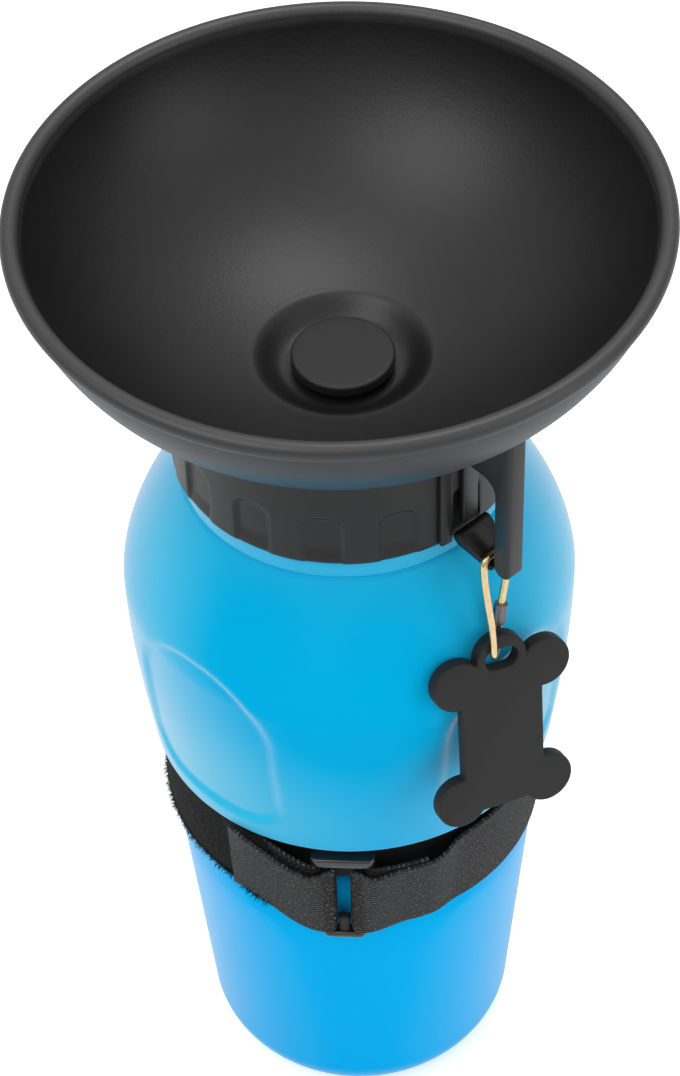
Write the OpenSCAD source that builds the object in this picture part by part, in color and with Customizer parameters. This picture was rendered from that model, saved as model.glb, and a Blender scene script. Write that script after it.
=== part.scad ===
// Squeeze-to-fill dog travel water bottle: bottle, bowl lid, stopper valve, snap hook, tag and hand strap.
// Millimetres. Z is up from the foot, the front looks along -Y, and azimuths turn from the front towards +X.

/* [Bottle] */
// Radius of the foot
foot_r = 33.2; // [30:0.1:35]
// Rounding of the foot's edge
foot_round = 10; // [4:0.5:14]
// Radius at the top of the lower body
body_r = 37.5; // [35.5:0.1:38]
// Height of the straight lower body
body_h = 66; // [50:1:80]
// Height of the rounded shoulder between lower body and waist
body_shoulder_h = 17; // [12:0.5:20]
// Radius of the waist groove
waist_r = 34.8; // [33:0.1:35.3]
// Height of the waist groove
waist_h = 16.3; // [12:0.1:20]
// Radius at the dome's lower edge
dome_edge_r = 41.4; // [40:0.1:43]
// Widest radius of the dome
dome_r = 44.5; // [43.5:0.1:45]
// Height from the dome's lower edge to its widest ring
bulge_h = 40.7; // [34:0.1:46]
// Height of the shoulder from the widest ring to the neck's ring
shoulder_h = 28.6; // [26:0.1:32]
// How much the neck's ring under the collar is smaller than the collar
ring_inset = 1.4; // [0.8:0.1:2]
// Height of the neck's ring, from the shoulder to the ledge under the collar
ledge_h = 4.8; // [3:0.1:6]
// Bend of the shoulder: 1 is a cone, and more is rounder
shoulder_bend = 1.6; // [1.2:0.1:2.4]
// Wall of the bottle
bottle_wall = 1.4; // [1:0.1:1.8]
// Thickness of the bottle's floor
floor_t = 1.8; // [1.2:0.1:3]

/* [Grip panels] */
// Number of finger panels round the dome
grip_count = 4; // [2:1:4]
// Azimuth of the first panel
grip_azimuth = -44; // [-60:1:-30]
// Width of a panel across the dome
grip_w = 36; // [24:0.5:38]
// Height of a panel
grip_h = 44; // [34:0.5:46]
// Height of a panel's middle above the dome's lower edge
grip_z = 25.3; // [24:0.1:26]
// Radius of a panel's corners
grip_round = 12; // [6:0.5:14]
// Depth of a panel
grip_depth = 0.8; // [0.4:0.1:1.2]

/* [Neck and thread] */
// Outer radius of the neck
neck_r = 29.5; // [28:0.1:29.6]
// Wall of the neck
neck_wall = 2.5; // [1.8:0.1:3]
// Height of the neck above its ledge
neck_h = 12.7; // [12:0.1:15]
// Rise of the thread in one turn
thread_pitch = 4; // [3.6:0.1:4.4]
// Turns of thread on the neck
thread_turns = 1.5; // [1:0.25:1.75]
// Depth of a thread ridge
thread_depth = 1.3; // [0.8:0.1:1.5]
// Width of a thread ridge at its root
thread_root_w = 1.7; // [1.2:0.1:1.8]
// Width of a thread ridge at its crest
thread_crest_w = 0.9; // [0.6:0.1:1]

/* [Screw collar] */
// Wall of the collar outside its bore
collar_wall = 2.1; // [1.9:0.1:2.8]
// Gap between the bottle's ledge and the collar
collar_gap = 0.6; // [0.4:0.1:1]
// Thickness of the collar's inner plate
plate_t = 2.4; // [1.8:0.1:3]
// Thickness of the upper skirt that carries the bowl
skirt_wall = 2.5; // [1.8:0.1:3.5]
// Places for flutes round the collar
flute_count = 15; // [12:1:18]
// Azimuth of the first flute
flute_azimuth = -8; // [-12:1:12]
// Width of a flute
flute_w = 8.2; // [5:0.1:9]
// Height of a flute
flute_h = 12.4; // [8:0.1:13]
// Depth of a flute
flute_depth = 0.8; // [0.4:0.1:1.2]
// Width of the upright rib beside the hook
rib_w = 2.6; // [1.8:0.1:2.8]
// How far the rib stands out of the collar
rib_h = 1.2; // [0.6:0.1:1.4]
// How far the hook's own rib stands out of the collar, inside the hook's eye
hook_rib_h = 1.1; // [0.5:0.1:1.2]
// Turn from the hook back to the rib, in degrees
rib_angle = 9.5; // [9.2:0.1:12]

/* [Bowl] */
// Outer radius of the bowl's lip
rim_r = 60; // [59:0.5:64]
// Width of the lip seen from above
lip_w = 3.4; // [3:0.1:4]
// Height of the bowl from its floor boss to the top of its lip
bowl_h = 41; // [40:0.5:44]
// Thickness of the bowl's wall
bowl_wall = 2.7; // [2:0.1:3]
// Radius of the recess round the stopper
recess_r = 15.8; // [14:0.1:17]
// Height of the recess floor above the underside of the boss
recess_floor_t = 2.4; // [2:0.1:3]
// Depth of the recess
recess_depth = 3.3; // [2.8:0.1:4]
// Radius of the boss under the recess
boss_r = 17.5; // [17:0.1:20]
// Outer radius of the water spout under the bowl
spout_r = 6.5; // [6:0.1:7]
// Bore radius of the water spout
spout_bore_r = 5; // [4.6:0.1:5.2]
// Length of the spout below the boss
spout_l = 9; // [8:0.5:12]
// Height of the valve seat above the recess floor
seat_h = 0.4; // [0.2:0.1:0.6]
// Outer radius of the valve seat
seat_r = 7; // [6.4:0.1:7.4]

/* [Stopper valve] */
// Radius of the stopper disc
stopper_r = 9.7; // [8.5:0.1:11]
// Thickness of the stopper disc
stopper_t = 2.4; // [2:0.1:3.2]
// Travel of the stopper from closed to open
stopper_travel = 4; // [2.5:0.1:5]
// Radius of the valve stem
stem_r = 1.6; // [1.3:0.1:2]
// Thickness of the stopper's washer
washer_t = 0.8; // [0.5:0.1:1.2]
// Outer radius of the stopper's washer
washer_r = 7.6; // [7.4:0.1:8.2]
// Height of the stem guide
guide_h = 3; // [2:0.1:4]
// Width of a guide arm
guide_arm_w = 1.4; // [1:0.1:1.8]
// Radius of the stem's clip
clip_r = 2.6; // [2.3:0.1:2.7]
// Thickness of the stem's clip
clip_t = 1; // [0.8:0.1:1.4]

/* [Dip tube and seals] */
// Outer radius of the dip tube
tube_r = 4; // [3.4:0.1:4.2]
// Wall of the dip tube
tube_wall = 1; // [0.6:0.1:1.2]
// Gap between the tube's foot and the bottle's floor
tube_floor_gap = 4; // [3:0.5:10]
// Depth of the dip tube in its holder
tube_grip_l = 8; // [5:0.5:12]
// Wall of the tube holder
holder_wall = 1.5; // [1.2:0.1:2]
// Radius of the holder's flange
holder_flange_r = 10; // [9:0.1:12]
// Thickness of the holder's flange
holder_flange_t = 2; // [1.5:0.1:3]
// Thickness of the neck gasket
gasket_t = 1.5; // [1:0.1:2]
// Thickness of the seal under the bowl
seal_t = 1.2; // [0.8:0.1:1.4]
// Width of the seal under the bowl
seal_w = 2; // [1.5:0.1:2.5]

/* [Snap hook] */
// Azimuth of the snap hook
hook_azimuth = 41; // [38:1:44]
// Thickness of the hook's leg and web
hook_t = 3.6; // [3:0.1:4]
// Width of the hook's eye, from the collar to the leg
eye_w = 8.7; // [8.2:0.1:9.2]
// Width of the leg, seen from its side
leg_w = 4.2; // [3:0.1:5]
// Height of the leg's tip below the collar's lower edge
leg_drop = 3.5; // [3:0.1:4]
// Height of the eye's top above the collar's lower edge
eye_top_h = 19.5; // [17:0.1:20]
// Radius of the eye's upper corner
eye_round = 3; // [1:0.1:3.5]
// Width of the spring gate at its root
gate_root_w = 8; // [6:0.1:8.4]
// Width of the spring gate at its tip
gate_tip_w = 3.4; // [3:0.1:3.6]
// Radius of the gate's rounded root
gate_root_r = 1.3; // [1:0.1:1.5]
// Thickness of the gate at its tip
gate_tip_t = 1.6; // [1.2:0.1:2]

/* [Link and tag] */
// Diameter of the link's wire
wire_d = 1.4; // [1.2:0.1:1.6]
// Distance from the leg's inner face to the link's top
link_top_in = 1.3; // [1.1:0.05:1.5]
// Height of the link's top below the collar's lower edge
link_top_drop = 0.3; // [0.2:0.05:0.4]
// Thickness of the bone tag
tag_t = 3; // [2.4:0.1:3.2]
// Half of the tag's width between the middles of its lobes
tag_half_w = 9.1; // [8:0.1:10]
// Length of the tag between the middles of its lobes
tag_len = 26.7; // [24:0.1:30]
// Radius of a lobe
lobe_r = 5.2; // [4.6:0.1:5.6]
// Width of the tag's straight middle
tag_waist_w = 16.8; // [14:0.1:17.4]
// Radius of the tag's eyelet
eyelet_r = 5.2; // [5:0.1:5.6]
// Height of the eyelet's middle above the upper lobes
eyelet_rise = 3.7; // [3.4:0.1:4.4]
// Half height of the eyelet's slot
slot_r = 2.2; // [2:0.1:2.4]
// Distance between the two round ends of the slot
slot_l = 2.4; // [1.6:0.1:3]
// Azimuth that the tag's face looks along
tag_azimuth = 25; // [23:0.5:27]
// Lean of the tag on the dome
tag_lean = 15; // [14:0.5:16]
// Turn of the tag in its own plane
tag_turn = -5.3; // [-7:0.1:-3]

/* [Hand strap] */
// Width of the webbing
web_w = 20; // [18:0.5:20.5]
// Thickness of the webbing
web_t = 1.1; // [0.9:0.05:1.3]
// Rise of the strap's left side over its front
strap_rise = 6.6; // [4:0.1:6.8]
// Arc over which the strap's left side rises, in degrees
rise_arc = 24; // [15:1:30]
// Height of the strap's front middle below the waist
strap_drop = 0.6; // [0:0.1:4]
// Azimuth of the strap ring
ring_azimuth = -4.5; // [-8:0.5:0]
// Radius of the strap ring's wire
ring_wire_r = 0.9; // [0.7:0.05:1.1]
// Half distance between the ring's two side bars
ring_half_w = 3.4; // [3.3:0.1:4.2]
// Length of the ring's top bar
ring_top_w = 13; // [10:0.5:14]
// Height of the ring's top bar
ring_top_h = 2.4; // [1.8:0.1:3]
// Length of the ring's bottom bar
ring_foot_w = 9; // [8.8:0.1:12]
// Height of the ring's bottom bar
ring_foot_h = 1.6; // [1.2:0.1:3]
// Depth of the ring's top and bottom bars
ring_depth = 3; // [2:0.1:3.2]
// Room over the webbing's upper edge, under the ring's top bar
ring_slack = 1; // [0:0.1:1.6]
// Height of the tongue that stands on the ring's bottom bar, in the gap
tongue_h = 4.6; // [2:0.1:6]
// Arc of the sewn return beside the ring, in degrees
sewn_arc = 20; // [10:1:30]
// Azimuth of the tail's free end
tail_end = -38; // [-60:1:-36]
// Azimuth of the near end of the pile patch
pile_start = -26; // [-34:1:-22]
// Azimuth of the far end of the pile patch
pile_end = -100; // [-140:1:-80]
// Thickness of the pile patch
pile_t = 0.7; // [0.5:0.05:0.8]
// Width of the pile patch
pile_w = 21; // [20:0.5:21]
// Thickness of the hook patch under the tail
hook_patch_t = 0.5; // [0.3:0.05:0.6]
// Width of the hook patch
hook_patch_w = 18; // [14:0.5:20]
// Thickness of the waist band
waist_band_t = 1.4; // [0.8:0.1:1.8]
// Width of the waist band
waist_band_w = 13; // [10:0.5:14]

/* [Hidden] */
$fn = 96;

fit = 0.05;        // running or push fit between round parts
clear = 0.3;       // gap between parts that only lie close together
big = 200;         // larger than anything it cuts

// Heights above the foot
waist_z0 = body_h + body_shoulder_h;
dome_z0 = waist_z0 + waist_h + 1;
widest_z = dome_z0 + bulge_h;
shoulder_top_z = widest_z + shoulder_h;
ledge_z = shoulder_top_z + ledge_h;
mouth_z = ledge_z + neck_h;
collar_z0 = ledge_z + collar_gap;
plate_z0 = mouth_z + gasket_t;
plate_z1 = plate_z0 + plate_t;
rim_z = plate_z1 + bowl_h;
recess_z = plate_z1 + recess_floor_t;
seat_z = recess_z + seat_h;

neck_bore_r = neck_r - neck_wall;
crest_r = neck_r + thread_depth;
collar_bore_r = crest_r + 0.4;
collar_r = collar_bore_r + collar_wall;
shoulder_top_r = collar_r - ring_inset;

function smooth(t) = let (u = min(1, max(0, t))) u * u * (3 - 2 * u);
function polar(r, az) = [r * sin(az), -r * cos(az)];
function arc(c, r, a0, a1, n = 8) =
    [for (i = [0:n]) let (a = a0 + (a1 - a0) * i / n) c + r * [cos(a), sin(a)]];

// Lays a profile drawn as [radius, height] in the upright plane at the front, t thick
module upright(t) {
    rotate([0, 0, -90]) rotate([90, 0, 0]) linear_extrude(t, center = true) children();
}

// ---------- bottle ----------

function dome_at(z) = z < widest_z
    ? dome_edge_r + (dome_r - dome_edge_r) * sin(90 * (z - dome_z0) / bulge_h)
    : dome_r - (dome_r - shoulder_top_r) * pow((z - widest_z) / shoulder_h, shoulder_bend);

function dome_points(inset, z0) = concat(
    [for (i = [0:8]) let (z = z0 + (widest_z - z0) * i / 8) [dome_at(z) - inset, z]],
    [for (i = [1:12]) let (z = widest_z + shoulder_h * i / 12) [dome_at(z) - inset, z]]
);

// The lower body's side, from the foot's rounding to the waist, set in by inset
function body_points(inset) = let (
    foot = foot_round - inset
) concat(
    arc([foot_r - foot_round, foot_round], foot, -90, 0),
    [for (i = [0:8]) let (a = 90 * i / 8)
        [waist_r - inset + (body_r - waist_r) * cos(a), body_h + body_shoulder_h * sin(a)]]
);

module outer_form() {
    rotate_extrude() polygon(concat(
        [[0, 0]],
        body_points(0),
        [[waist_r, waist_z0 + waist_h]],
        dome_points(0, dome_z0),
        [[shoulder_top_r, ledge_z - 0.4], [shoulder_top_r - 0.4, ledge_z], [neck_r, ledge_z],
         [neck_r, mouth_z], [0, mouth_z]]
    ));
}

module cavity_form() {
    rotate_extrude() polygon(concat(
        [[0, floor_t]],
        [for (p = body_points(bottle_wall)) [p[0], max(p[1], floor_t)]],
        [[waist_r - bottle_wall, dome_z0 + bottle_wall]],
        [for (p = dome_points(bottle_wall, dome_z0 + bottle_wall + 0.6))
            if (p[1] < shoulder_top_z - 1.2) p],
        [[dome_at(shoulder_top_z - 1) - bottle_wall, shoulder_top_z - 1],
         [neck_bore_r, shoulder_top_z + 1.4], [neck_bore_r, mouth_z + 1], [0, mouth_z + 1]]
    ));
}

module panel_outline(grow) {
    w = grip_w / 2 - grip_round;
    h = grip_h / 2 - grip_round;
    r = grip_round + grow;
    for (x = [-w, w]) for (y = [-h, h]) translate([x, y]) circle(r);
    square([2 * (w + r), 2 * h], center = true);
    square([2 * w, 2 * (h + r)], center = true);
}

// What a finger panel takes away outside a dome that is set in by inset
module panels(grow, inset) {
    for (i = [0:grip_count - 1]) rotate([0, 0, grip_azimuth + i * 360 / grip_count])
        intersection() {
            translate([0, 0, dome_z0 + grip_z]) rotate([90, 0, 0])
                linear_extrude(dome_r + 5) panel_outline(grow);
            difference() {
                cylinder(r = dome_r + 4, h = shoulder_top_z);
                rotate_extrude() polygon(concat(
                    [[0, dome_z0 - 2], [dome_edge_r - inset, dome_z0 - 2]],
                    dome_points(inset, dome_z0),
                    [[0, shoulder_top_z]]
                ));
            }
        }
}

// One helical ridge from radius r_root to r_crest, rising by thread_pitch in a turn
module thread(r_root, r_crest, z0, turns) {
    steps = ceil(turns * 30);
    ridge = [[r_root, -thread_root_w / 2], [r_crest, -thread_crest_w / 2],
             [r_crest, thread_crest_w / 2], [r_root, thread_root_w / 2]];
    points = [for (i = [0:steps]) let (a = 360 * turns * i / steps, z = z0 + thread_pitch * turns * i / steps)
        for (p = ridge) [p[0] * cos(a), p[0] * sin(a), z + p[1]]];
    turned = r_crest < r_root;
    sides = [for (i = [0:steps - 1]) for (k = [0:3])
        let (a = 4 * i + k, b = 4 * i + (k + 1) % 4) turned ? [a, a + 4, b + 4, b] : [a, b, b + 4, a + 4]];
    last = 4 * steps;
    caps = turned
        ? [[0, 1, 2, 3], [last + 3, last + 2, last + 1, last]]
        : [[3, 2, 1, 0], [last, last + 1, last + 2, last + 3]];
    polyhedron(points, concat(sides, caps), convexity = 6);
}

module bottle() {
    color([0.10, 0.62, 0.90]) union() {
        difference() {
            outer_form();
            panels(0, grip_depth);
            difference() {
                cavity_form();
                panels(bottle_wall, grip_depth + bottle_wall);
            }
        }
        thread(neck_r - 0.3, crest_r, ledge_z + 3, thread_turns);
    }
}

// ---------- lid: collar, bowl, seals ----------

module neck_gasket() {
    color([0.55, 0.57, 0.60]) translate([0, 0, mouth_z]) difference() {
        cylinder(r = collar_bore_r - clear, h = gasket_t);
        translate([0, 0, -1]) cylinder(r = neck_bore_r, h = gasket_t + 2);
    }
}

// The bowl's inner and outer faces are quarter ellipses about a centre above the rim
bowl_centre_z = rim_z + 5;
bowl_a = rim_r - lip_w + 0.6;
bowl_b = bowl_h + 0.8;
lip_r = lip_w / 2;

function bowl_inner_z(r) = bowl_centre_z - bowl_b * sqrt(1 - pow(r / bowl_a, 2));
function bowl_outer_z(r) =
    bowl_centre_z - (bowl_b + bowl_wall) * sqrt(1 - pow(r / (bowl_a + bowl_wall), 2));
function sweep_r(r0, r1, n) = [for (i = [0:n]) r0 + (r1 - r0) * sin(90 * i / n)];

bowl_inner_r = sweep_r(recess_r + 0.6, bowl_a - 0.7, 16);
bowl_outer_points = [for (r = sweep_r(boss_r, rim_r - 1.2, 14)) [r, bowl_outer_z(r)]];

module bowl_form() {
    rotate_extrude() polygon(concat([[0, rim_z], [0, plate_z1], [boss_r, plate_z1]], bowl_outer_points));
}

module drinking_bowl() {
    edge_z = bowl_inner_z(recess_r);
    color([0.13, 0.13, 0.14]) rotate_extrude() polygon(concat(
        [[spout_bore_r, plate_z1 - spout_l], [spout_r, plate_z1 - spout_l], [spout_r, plate_z1],
         [boss_r, plate_z1]],
        bowl_outer_points,
        arc([rim_r - lip_r, rim_z - lip_r], lip_r, -30, 180, 14),
        [for (i = [16:-1:0]) [bowl_inner_r[i], bowl_inner_z(bowl_inner_r[i])]],
        [[recess_r - 0.3, edge_z - 0.5], [recess_r - 0.8, recess_z + 0.6], [recess_r - 1.4, recess_z],
         [seat_r, recess_z], [seat_r, seat_z], [spout_bore_r, seat_z]]
    ));
}

module flute() {
    arch = flute_w / 2;
    translate([0, -collar_r + flute_depth, 0]) rotate([90, 0, 0]) linear_extrude(5) {
        translate([-flute_w / 2, -1]) square([flute_w, flute_h - 1]);
        intersection() {
            translate([0, flute_h - 2 - arch * 0.9]) circle(arch * 1.35);
            translate([-flute_w / 2, -1]) square([flute_w, flute_h + 2]);
        }
    }
}

module screw_collar() {
    color([0.11, 0.11, 0.12]) difference() {
        union() {
            difference() {
                translate([0, 0, collar_z0]) cylinder(r = collar_r, h = rim_z - collar_z0 - bowl_h / 2);
                translate([0, 0, collar_z0 - 1]) cylinder(r = collar_bore_r, h = plate_z0 - collar_z0 + 1);
                translate([0, 0, plate_z1]) cylinder(r = collar_r - skirt_wall, h = big);
                translate([0, 0, plate_z0 - 1]) cylinder(r = spout_r + fit, h = plate_t + 2);
                bowl_form();
                for (i = [0:flute_count - 1])
                    translate([0, 0, collar_z0]) rotate([0, 0, flute_azimuth + i * 360 / flute_count]) flute();
                bowl_seal_form(0.1, 1);
            }
            thread(collar_bore_r + 0.2, neck_r + 0.4, ledge_z + 3 + thread_pitch / 2, thread_turns);
            rotate([0, 0, hook_azimuth - rib_angle]) difference() {
                translate([-rib_w / 2, -collar_r - rib_h, collar_z0 + 0.5]) cube([rib_w, rib_h + 1, bowl_h / 2]);
                rotate([0, 0, rib_angle - hook_azimuth]) bowl_form();
            }
        }
    }
}

// The ring between the collar's plate and the bowl's boss, and the groove that holds it
module bowl_seal_form(side, over) {
    translate([0, 0, plate_z1 - seal_t]) difference() {
        cylinder(r = boss_r - 2 + side, h = seal_t + over);
        translate([0, 0, -1]) cylinder(r = boss_r - 2 - seal_w - side, h = seal_t + over + 2);
    }
}

module bowl_seal() {
    color([0.55, 0.57, 0.60]) bowl_seal_form(0, 0);
}

// ---------- snap hook ----------

eye_top_z = collar_z0 + eye_top_h;
leg_z0 = collar_z0 - leg_drop;
leg_in_r = collar_r + eye_w;
leg_out_r = leg_in_r + leg_w;

module hook_leg() {
    color([0.12, 0.12, 0.13]) rotate([0, 0, hook_azimuth]) difference() {
        upright(hook_t) difference() {
            union() {
                translate([collar_r - 2, eye_top_z]) square([leg_out_r - collar_r + 2, bowl_h / 2]);
                translate([leg_in_r, leg_z0 + leg_w / 2]) square([leg_w, eye_top_h + leg_drop]);
                translate([leg_in_r + leg_w / 2, leg_z0 + leg_w / 2]) circle(leg_w / 2);
                translate([leg_in_r - eye_round, eye_top_z - eye_round]) square(eye_round + 0.1);
                translate([collar_r - 2, gate_pivot[1] + gate_root_r + clear])
                    square([hook_rib_h + 2, eye_top_z - gate_pivot[1]]);
            }
            translate([leg_in_r - eye_round, eye_top_z - eye_round]) circle(eye_round);
        }
        translate([0, 0, leg_z0]) cylinder(r = collar_r, h = big);
        rotate([0, 0, -hook_azimuth]) bowl_form();
    }
}

// The gate's pivot lies in front of the collar's wall, and its tip rests near the leg's inner face
gate_pivot = [collar_r + clear + gate_root_r, collar_z0 + 0.2 + gate_root_r];
gate_tip = [leg_in_r - clear - gate_tip_t / 2, leg_z0 + 0.4];

module hook_gate() {
    color([0.15, 0.15, 0.16]) rotate([0, 0, hook_azimuth]) hull() {
        translate([0, -gate_pivot[0], gate_pivot[1]]) rotate([0, 90, 0])
            cylinder(r = gate_root_r, h = gate_root_w, center = true, $fn = 32);
        translate([0, -gate_tip[0], gate_tip[1]]) rotate([0, 90, 0])
            cylinder(r = gate_tip_t / 2, h = gate_tip_w, center = true, $fn = 32);
    }
}

// ---------- water path ----------

holder_z0 = plate_z0 - spout_l - tube_grip_l;
tube_top_z = plate_z1 - spout_l;

module tube_holder() {
    r = spout_r + fit + holder_wall;
    color([0.75, 0.77, 0.78]) difference() {
        union() {
            translate([0, 0, plate_z0 - holder_flange_t]) cylinder(r = holder_flange_r, h = holder_flange_t);
            translate([0, 0, tube_top_z - holder_wall])
                cylinder(r = r, h = plate_z0 - tube_top_z + holder_wall);
            translate([0, 0, tube_top_z - tube_grip_l])
                cylinder(r = tube_r + fit + holder_wall, h = tube_grip_l);
        }
        translate([0, 0, tube_top_z]) cylinder(r = spout_r + fit, h = big);
        translate([0, 0, tube_top_z - tube_grip_l - 1]) cylinder(r = tube_r + fit, h = big);
    }
}

module dip_tube() {
    z0 = floor_t + tube_floor_gap;
    color([0.85, 0.88, 0.90]) translate([0, 0, z0]) difference() {
        cylinder(r = tube_r, h = tube_top_z - z0);
        translate([0, 0, -1]) cylinder(r = tube_r - tube_wall, h = big);
    }
}

guide_z0 = tube_top_z + 0.5;

module stem_guide() {
    hub_r = stem_r + fit + 1;
    color([0.80, 0.82, 0.83]) translate([0, 0, guide_z0]) difference() {
        union() {
            difference() {
                cylinder(r = spout_bore_r - fit, h = guide_h);
                translate([0, 0, -1]) cylinder(r = spout_bore_r - fit - 0.8, h = guide_h + 2);
            }
            cylinder(r = hub_r, h = guide_h);
            for (a = [0, 120, 240]) rotate([0, 0, a]) translate([0, -guide_arm_w / 2, 0])
                cube([spout_bore_r - fit - 0.4, guide_arm_w, guide_h]);
        }
        translate([0, 0, -1]) cylinder(r = stem_r + fit, h = guide_h + 2);
    }
}

stopper_z0 = seat_z + washer_t;
stem_z0 = guide_z0 - stopper_travel - clip_t - clear;

module stopper_disc() {
    color([0.14, 0.14, 0.15]) translate([0, 0, stopper_z0]) difference() {
        rotate_extrude() polygon(concat(
            [[0, 0], [stopper_r - 0.4, 0], [stopper_r, 0.4]],
            arc([stopper_r - 0.6, stopper_t - 0.6], 0.6, 0, 90, 5),
            [[0, stopper_t]]
        ));
        translate([0, 0, -1]) cylinder(r = stem_r, h = stopper_t / 2 + 1);
    }
}

module stopper_washer() {
    color([0.3, 0.3, 0.32]) translate([0, 0, seat_z]) difference() {
        cylinder(r = washer_r, h = washer_t);
        translate([0, 0, -1]) cylinder(r = stem_r, h = washer_t + 2);
    }
}

module valve_stem() {
    color([0.2, 0.2, 0.21]) translate([0, 0, stem_z0])
        cylinder(r = stem_r, h = stopper_z0 + stopper_t / 2 - stem_z0);
}

module stem_clip() {
    color([0.7, 0.7, 0.72]) translate([0, 0, stem_z0]) difference() {
        cylinder(r = clip_r, h = clip_t);
        translate([0, 0, -1]) cylinder(r = stem_r, h = clip_t + 2);
    }
}

// ---------- tag and link ----------

// The tag's frame: its slot's middle at the origin, its face along -Y, leaning on the dome
tag_touch_z = widest_z + 6;
tag_touch = [0, -dome_at(tag_touch_z), tag_touch_z];
tag_slot = [9.6, -clear - 0.15 - tag_t / 2, 4.5];

module tag_frame() {
    rotate([0, 0, tag_azimuth]) translate(tag_touch) rotate([-tag_lean, 0, 0])
        translate(tag_slot) rotate([0, -tag_turn, 0]) children();
}

// The same frame as a function, for the link's route
function turn_x(p, a) = [p[0], p[1] * cos(a) - p[2] * sin(a), p[1] * sin(a) + p[2] * cos(a)];
function turn_y(p, a) = [p[0] * cos(a) + p[2] * sin(a), p[1], -p[0] * sin(a) + p[2] * cos(a)];
function turn_z(p, a) = [p[0] * cos(a) - p[1] * sin(a), p[0] * sin(a) + p[1] * cos(a), p[2]];
function tag_point(p) = turn_z(
    turn_x(turn_y(p, -tag_turn) + tag_slot, -tag_lean) + tag_touch, tag_azimuth);
function tag_vector(p) = turn_z(turn_x(turn_y(p, -tag_turn), -tag_lean), tag_azimuth);

module tag_outline() {
    difference() {
        union() {
            circle(eyelet_r);
            for (x = [-tag_half_w, tag_half_w]) for (y = [0, -tag_len])
                translate([x, y - eyelet_rise]) circle(lobe_r);
            translate([-tag_waist_w / 2, -tag_len - eyelet_rise]) square([tag_waist_w, tag_len]);
            translate([-tag_half_w, -eyelet_rise - 2]) square([2 * tag_half_w, lobe_r]);
            translate([-tag_half_w, -eyelet_rise - tag_len - 3]) square([2 * tag_half_w, lobe_r]);
        }
        for (x = [-slot_l / 2, slot_l / 2]) translate([x, 0]) circle(slot_r);
        square([slot_l, 2 * slot_r], center = true);
    }
}

module bone_tag() {
    color([0.12, 0.12, 0.13]) tag_frame() rotate([90, 0, 0])
        linear_extrude(tag_t, center = true) tag_outline();
}

// The link: a bent wire loop, square-ended, whose plane turns from the hook's to the tag's
wire_r = wire_d / 2;
link_side_top = [cos(hook_azimuth), sin(hook_azimuth), 0];
link_top = concat(polar(leg_in_r - link_top_in, hook_azimuth), [collar_z0 - link_top_drop])
    + 0.35 * link_side_top;
link_foot = tag_point([0, 0, slot_r - wire_r - 0.45]);
link_half_top = hook_t / 2 + wire_r + 0.9;
link_half_foot = tag_t / 2 + wire_r + 0.3;
link_side_foot = tag_vector([0, 1, 0]);
link_bend = 1.5;

function unit(v) = v / norm(v);
link_len = norm(link_foot - link_top);

// Corner-rounded route in [side, distance from the top]; side runs from -1 to 1
function link_flat() = let (b = link_bend, t = link_half_top, f = link_half_foot, l = link_len) concat(
    arc([-t + b, b], b, 180, 270, 4),
    arc([t - b, b], b, 270, 360, 4),
    [for (i = [1:7]) [t + (f - t) * smooth(i / 8), b + (l - 2 * b) * i / 8]],
    arc([f - b, l - b], b, 0, 90, 4),
    arc([-f + b, l - b], b, 90, 180, 4),
    [for (i = [7:-1:1]) [-(t + (f - t) * smooth(i / 8)), b + (l - 2 * b) * i / 8]]
);
function link_place(p) = let (
    u = smooth(p[1] / link_len),
    side = unit(link_side_top * (1 - u) + link_side_foot * u)
) link_top + (link_foot - link_top) * p[1] / link_len + side * p[0];
link_route = [for (p = link_flat()) link_place(p)];

// Rings of a round tube along a route, each ring square to the route
function tube_points(route, r, sides, closed) = let (n = len(route)) [
    for (i = [0:n - 1]) let (
        before = route[closed ? (i + n - 1) % n : max(0, i - 1)],
        after = route[closed ? (i + 1) % n : min(n - 1, i + 1)],
        along = unit(after - before),
        out = unit(cross(along, abs(along[0]) < 0.9 ? [1, 0, 0] : [0, 1, 0])),
        up = cross(along, out)
    ) for (k = [0:sides - 1]) route[i] + r * (out * cos(360 * k / sides) + up * sin(360 * k / sides))
];

module tube(route, r, sides = 8, closed = false) {
    n = len(route);
    last = closed ? n - 1 : n - 2;
    walls = [for (i = [0:last]) for (k = [0:sides - 1]) let (
        a = i * sides, b = ((i + 1) % n) * sides, m = (k + 1) % sides
    ) [a + k, a + m, b + m, b + k]];
    caps = closed ? [] : [[for (k = [sides - 1:-1:0]) k], [for (k = [0:sides - 1]) (n - 1) * sides + k]];
    polyhedron(tube_points(route, r, sides, closed), concat(walls, caps), convexity = 6);
}

module brass_link() {
    color([0.80, 0.66, 0.38]) tube(link_route, wire_r, 8, true);
}

// The clasp is a short sleeve round the rear strand
module link_clasp() {
    run = link_len - 2 * link_bend;
    strand = [for (d = [0.60, 0.66, 0.72, 0.78]) link_place([
        link_half_top + (link_half_foot - link_half_top) * smooth((d * link_len - link_bend) / run),
        d * link_len
    ])];
    color([0.25, 0.25, 0.27]) tube(strand, wire_r + 0.6, 10);
}

// ---------- hand strap ----------

band_r = waist_r + 0.1 + waist_band_t;
strap_r = max(body_r, band_r) + clear;       // inner radius of the webbing on body and band
bar_r = strap_r + web_t + ring_wire_r + 0.05;
bar_half_angle = asin(ring_half_w / bar_r);
turn_r = ring_wire_r + 0.05 + web_t / 2;
// The tongue is clear of the webbing on both side bars
tongue_w = 2 * (ring_half_w - turn_r - web_t / 2) - clear;
layer_gap = 0.05;               // between layers that are sewn or pressed together
strap_mid_r = strap_r + web_t / 2;
return_r = strap_mid_r + web_t + layer_gap;
tail_r = strap_mid_r + web_t + pile_t + hook_patch_t + 3 * layer_gap;

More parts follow.
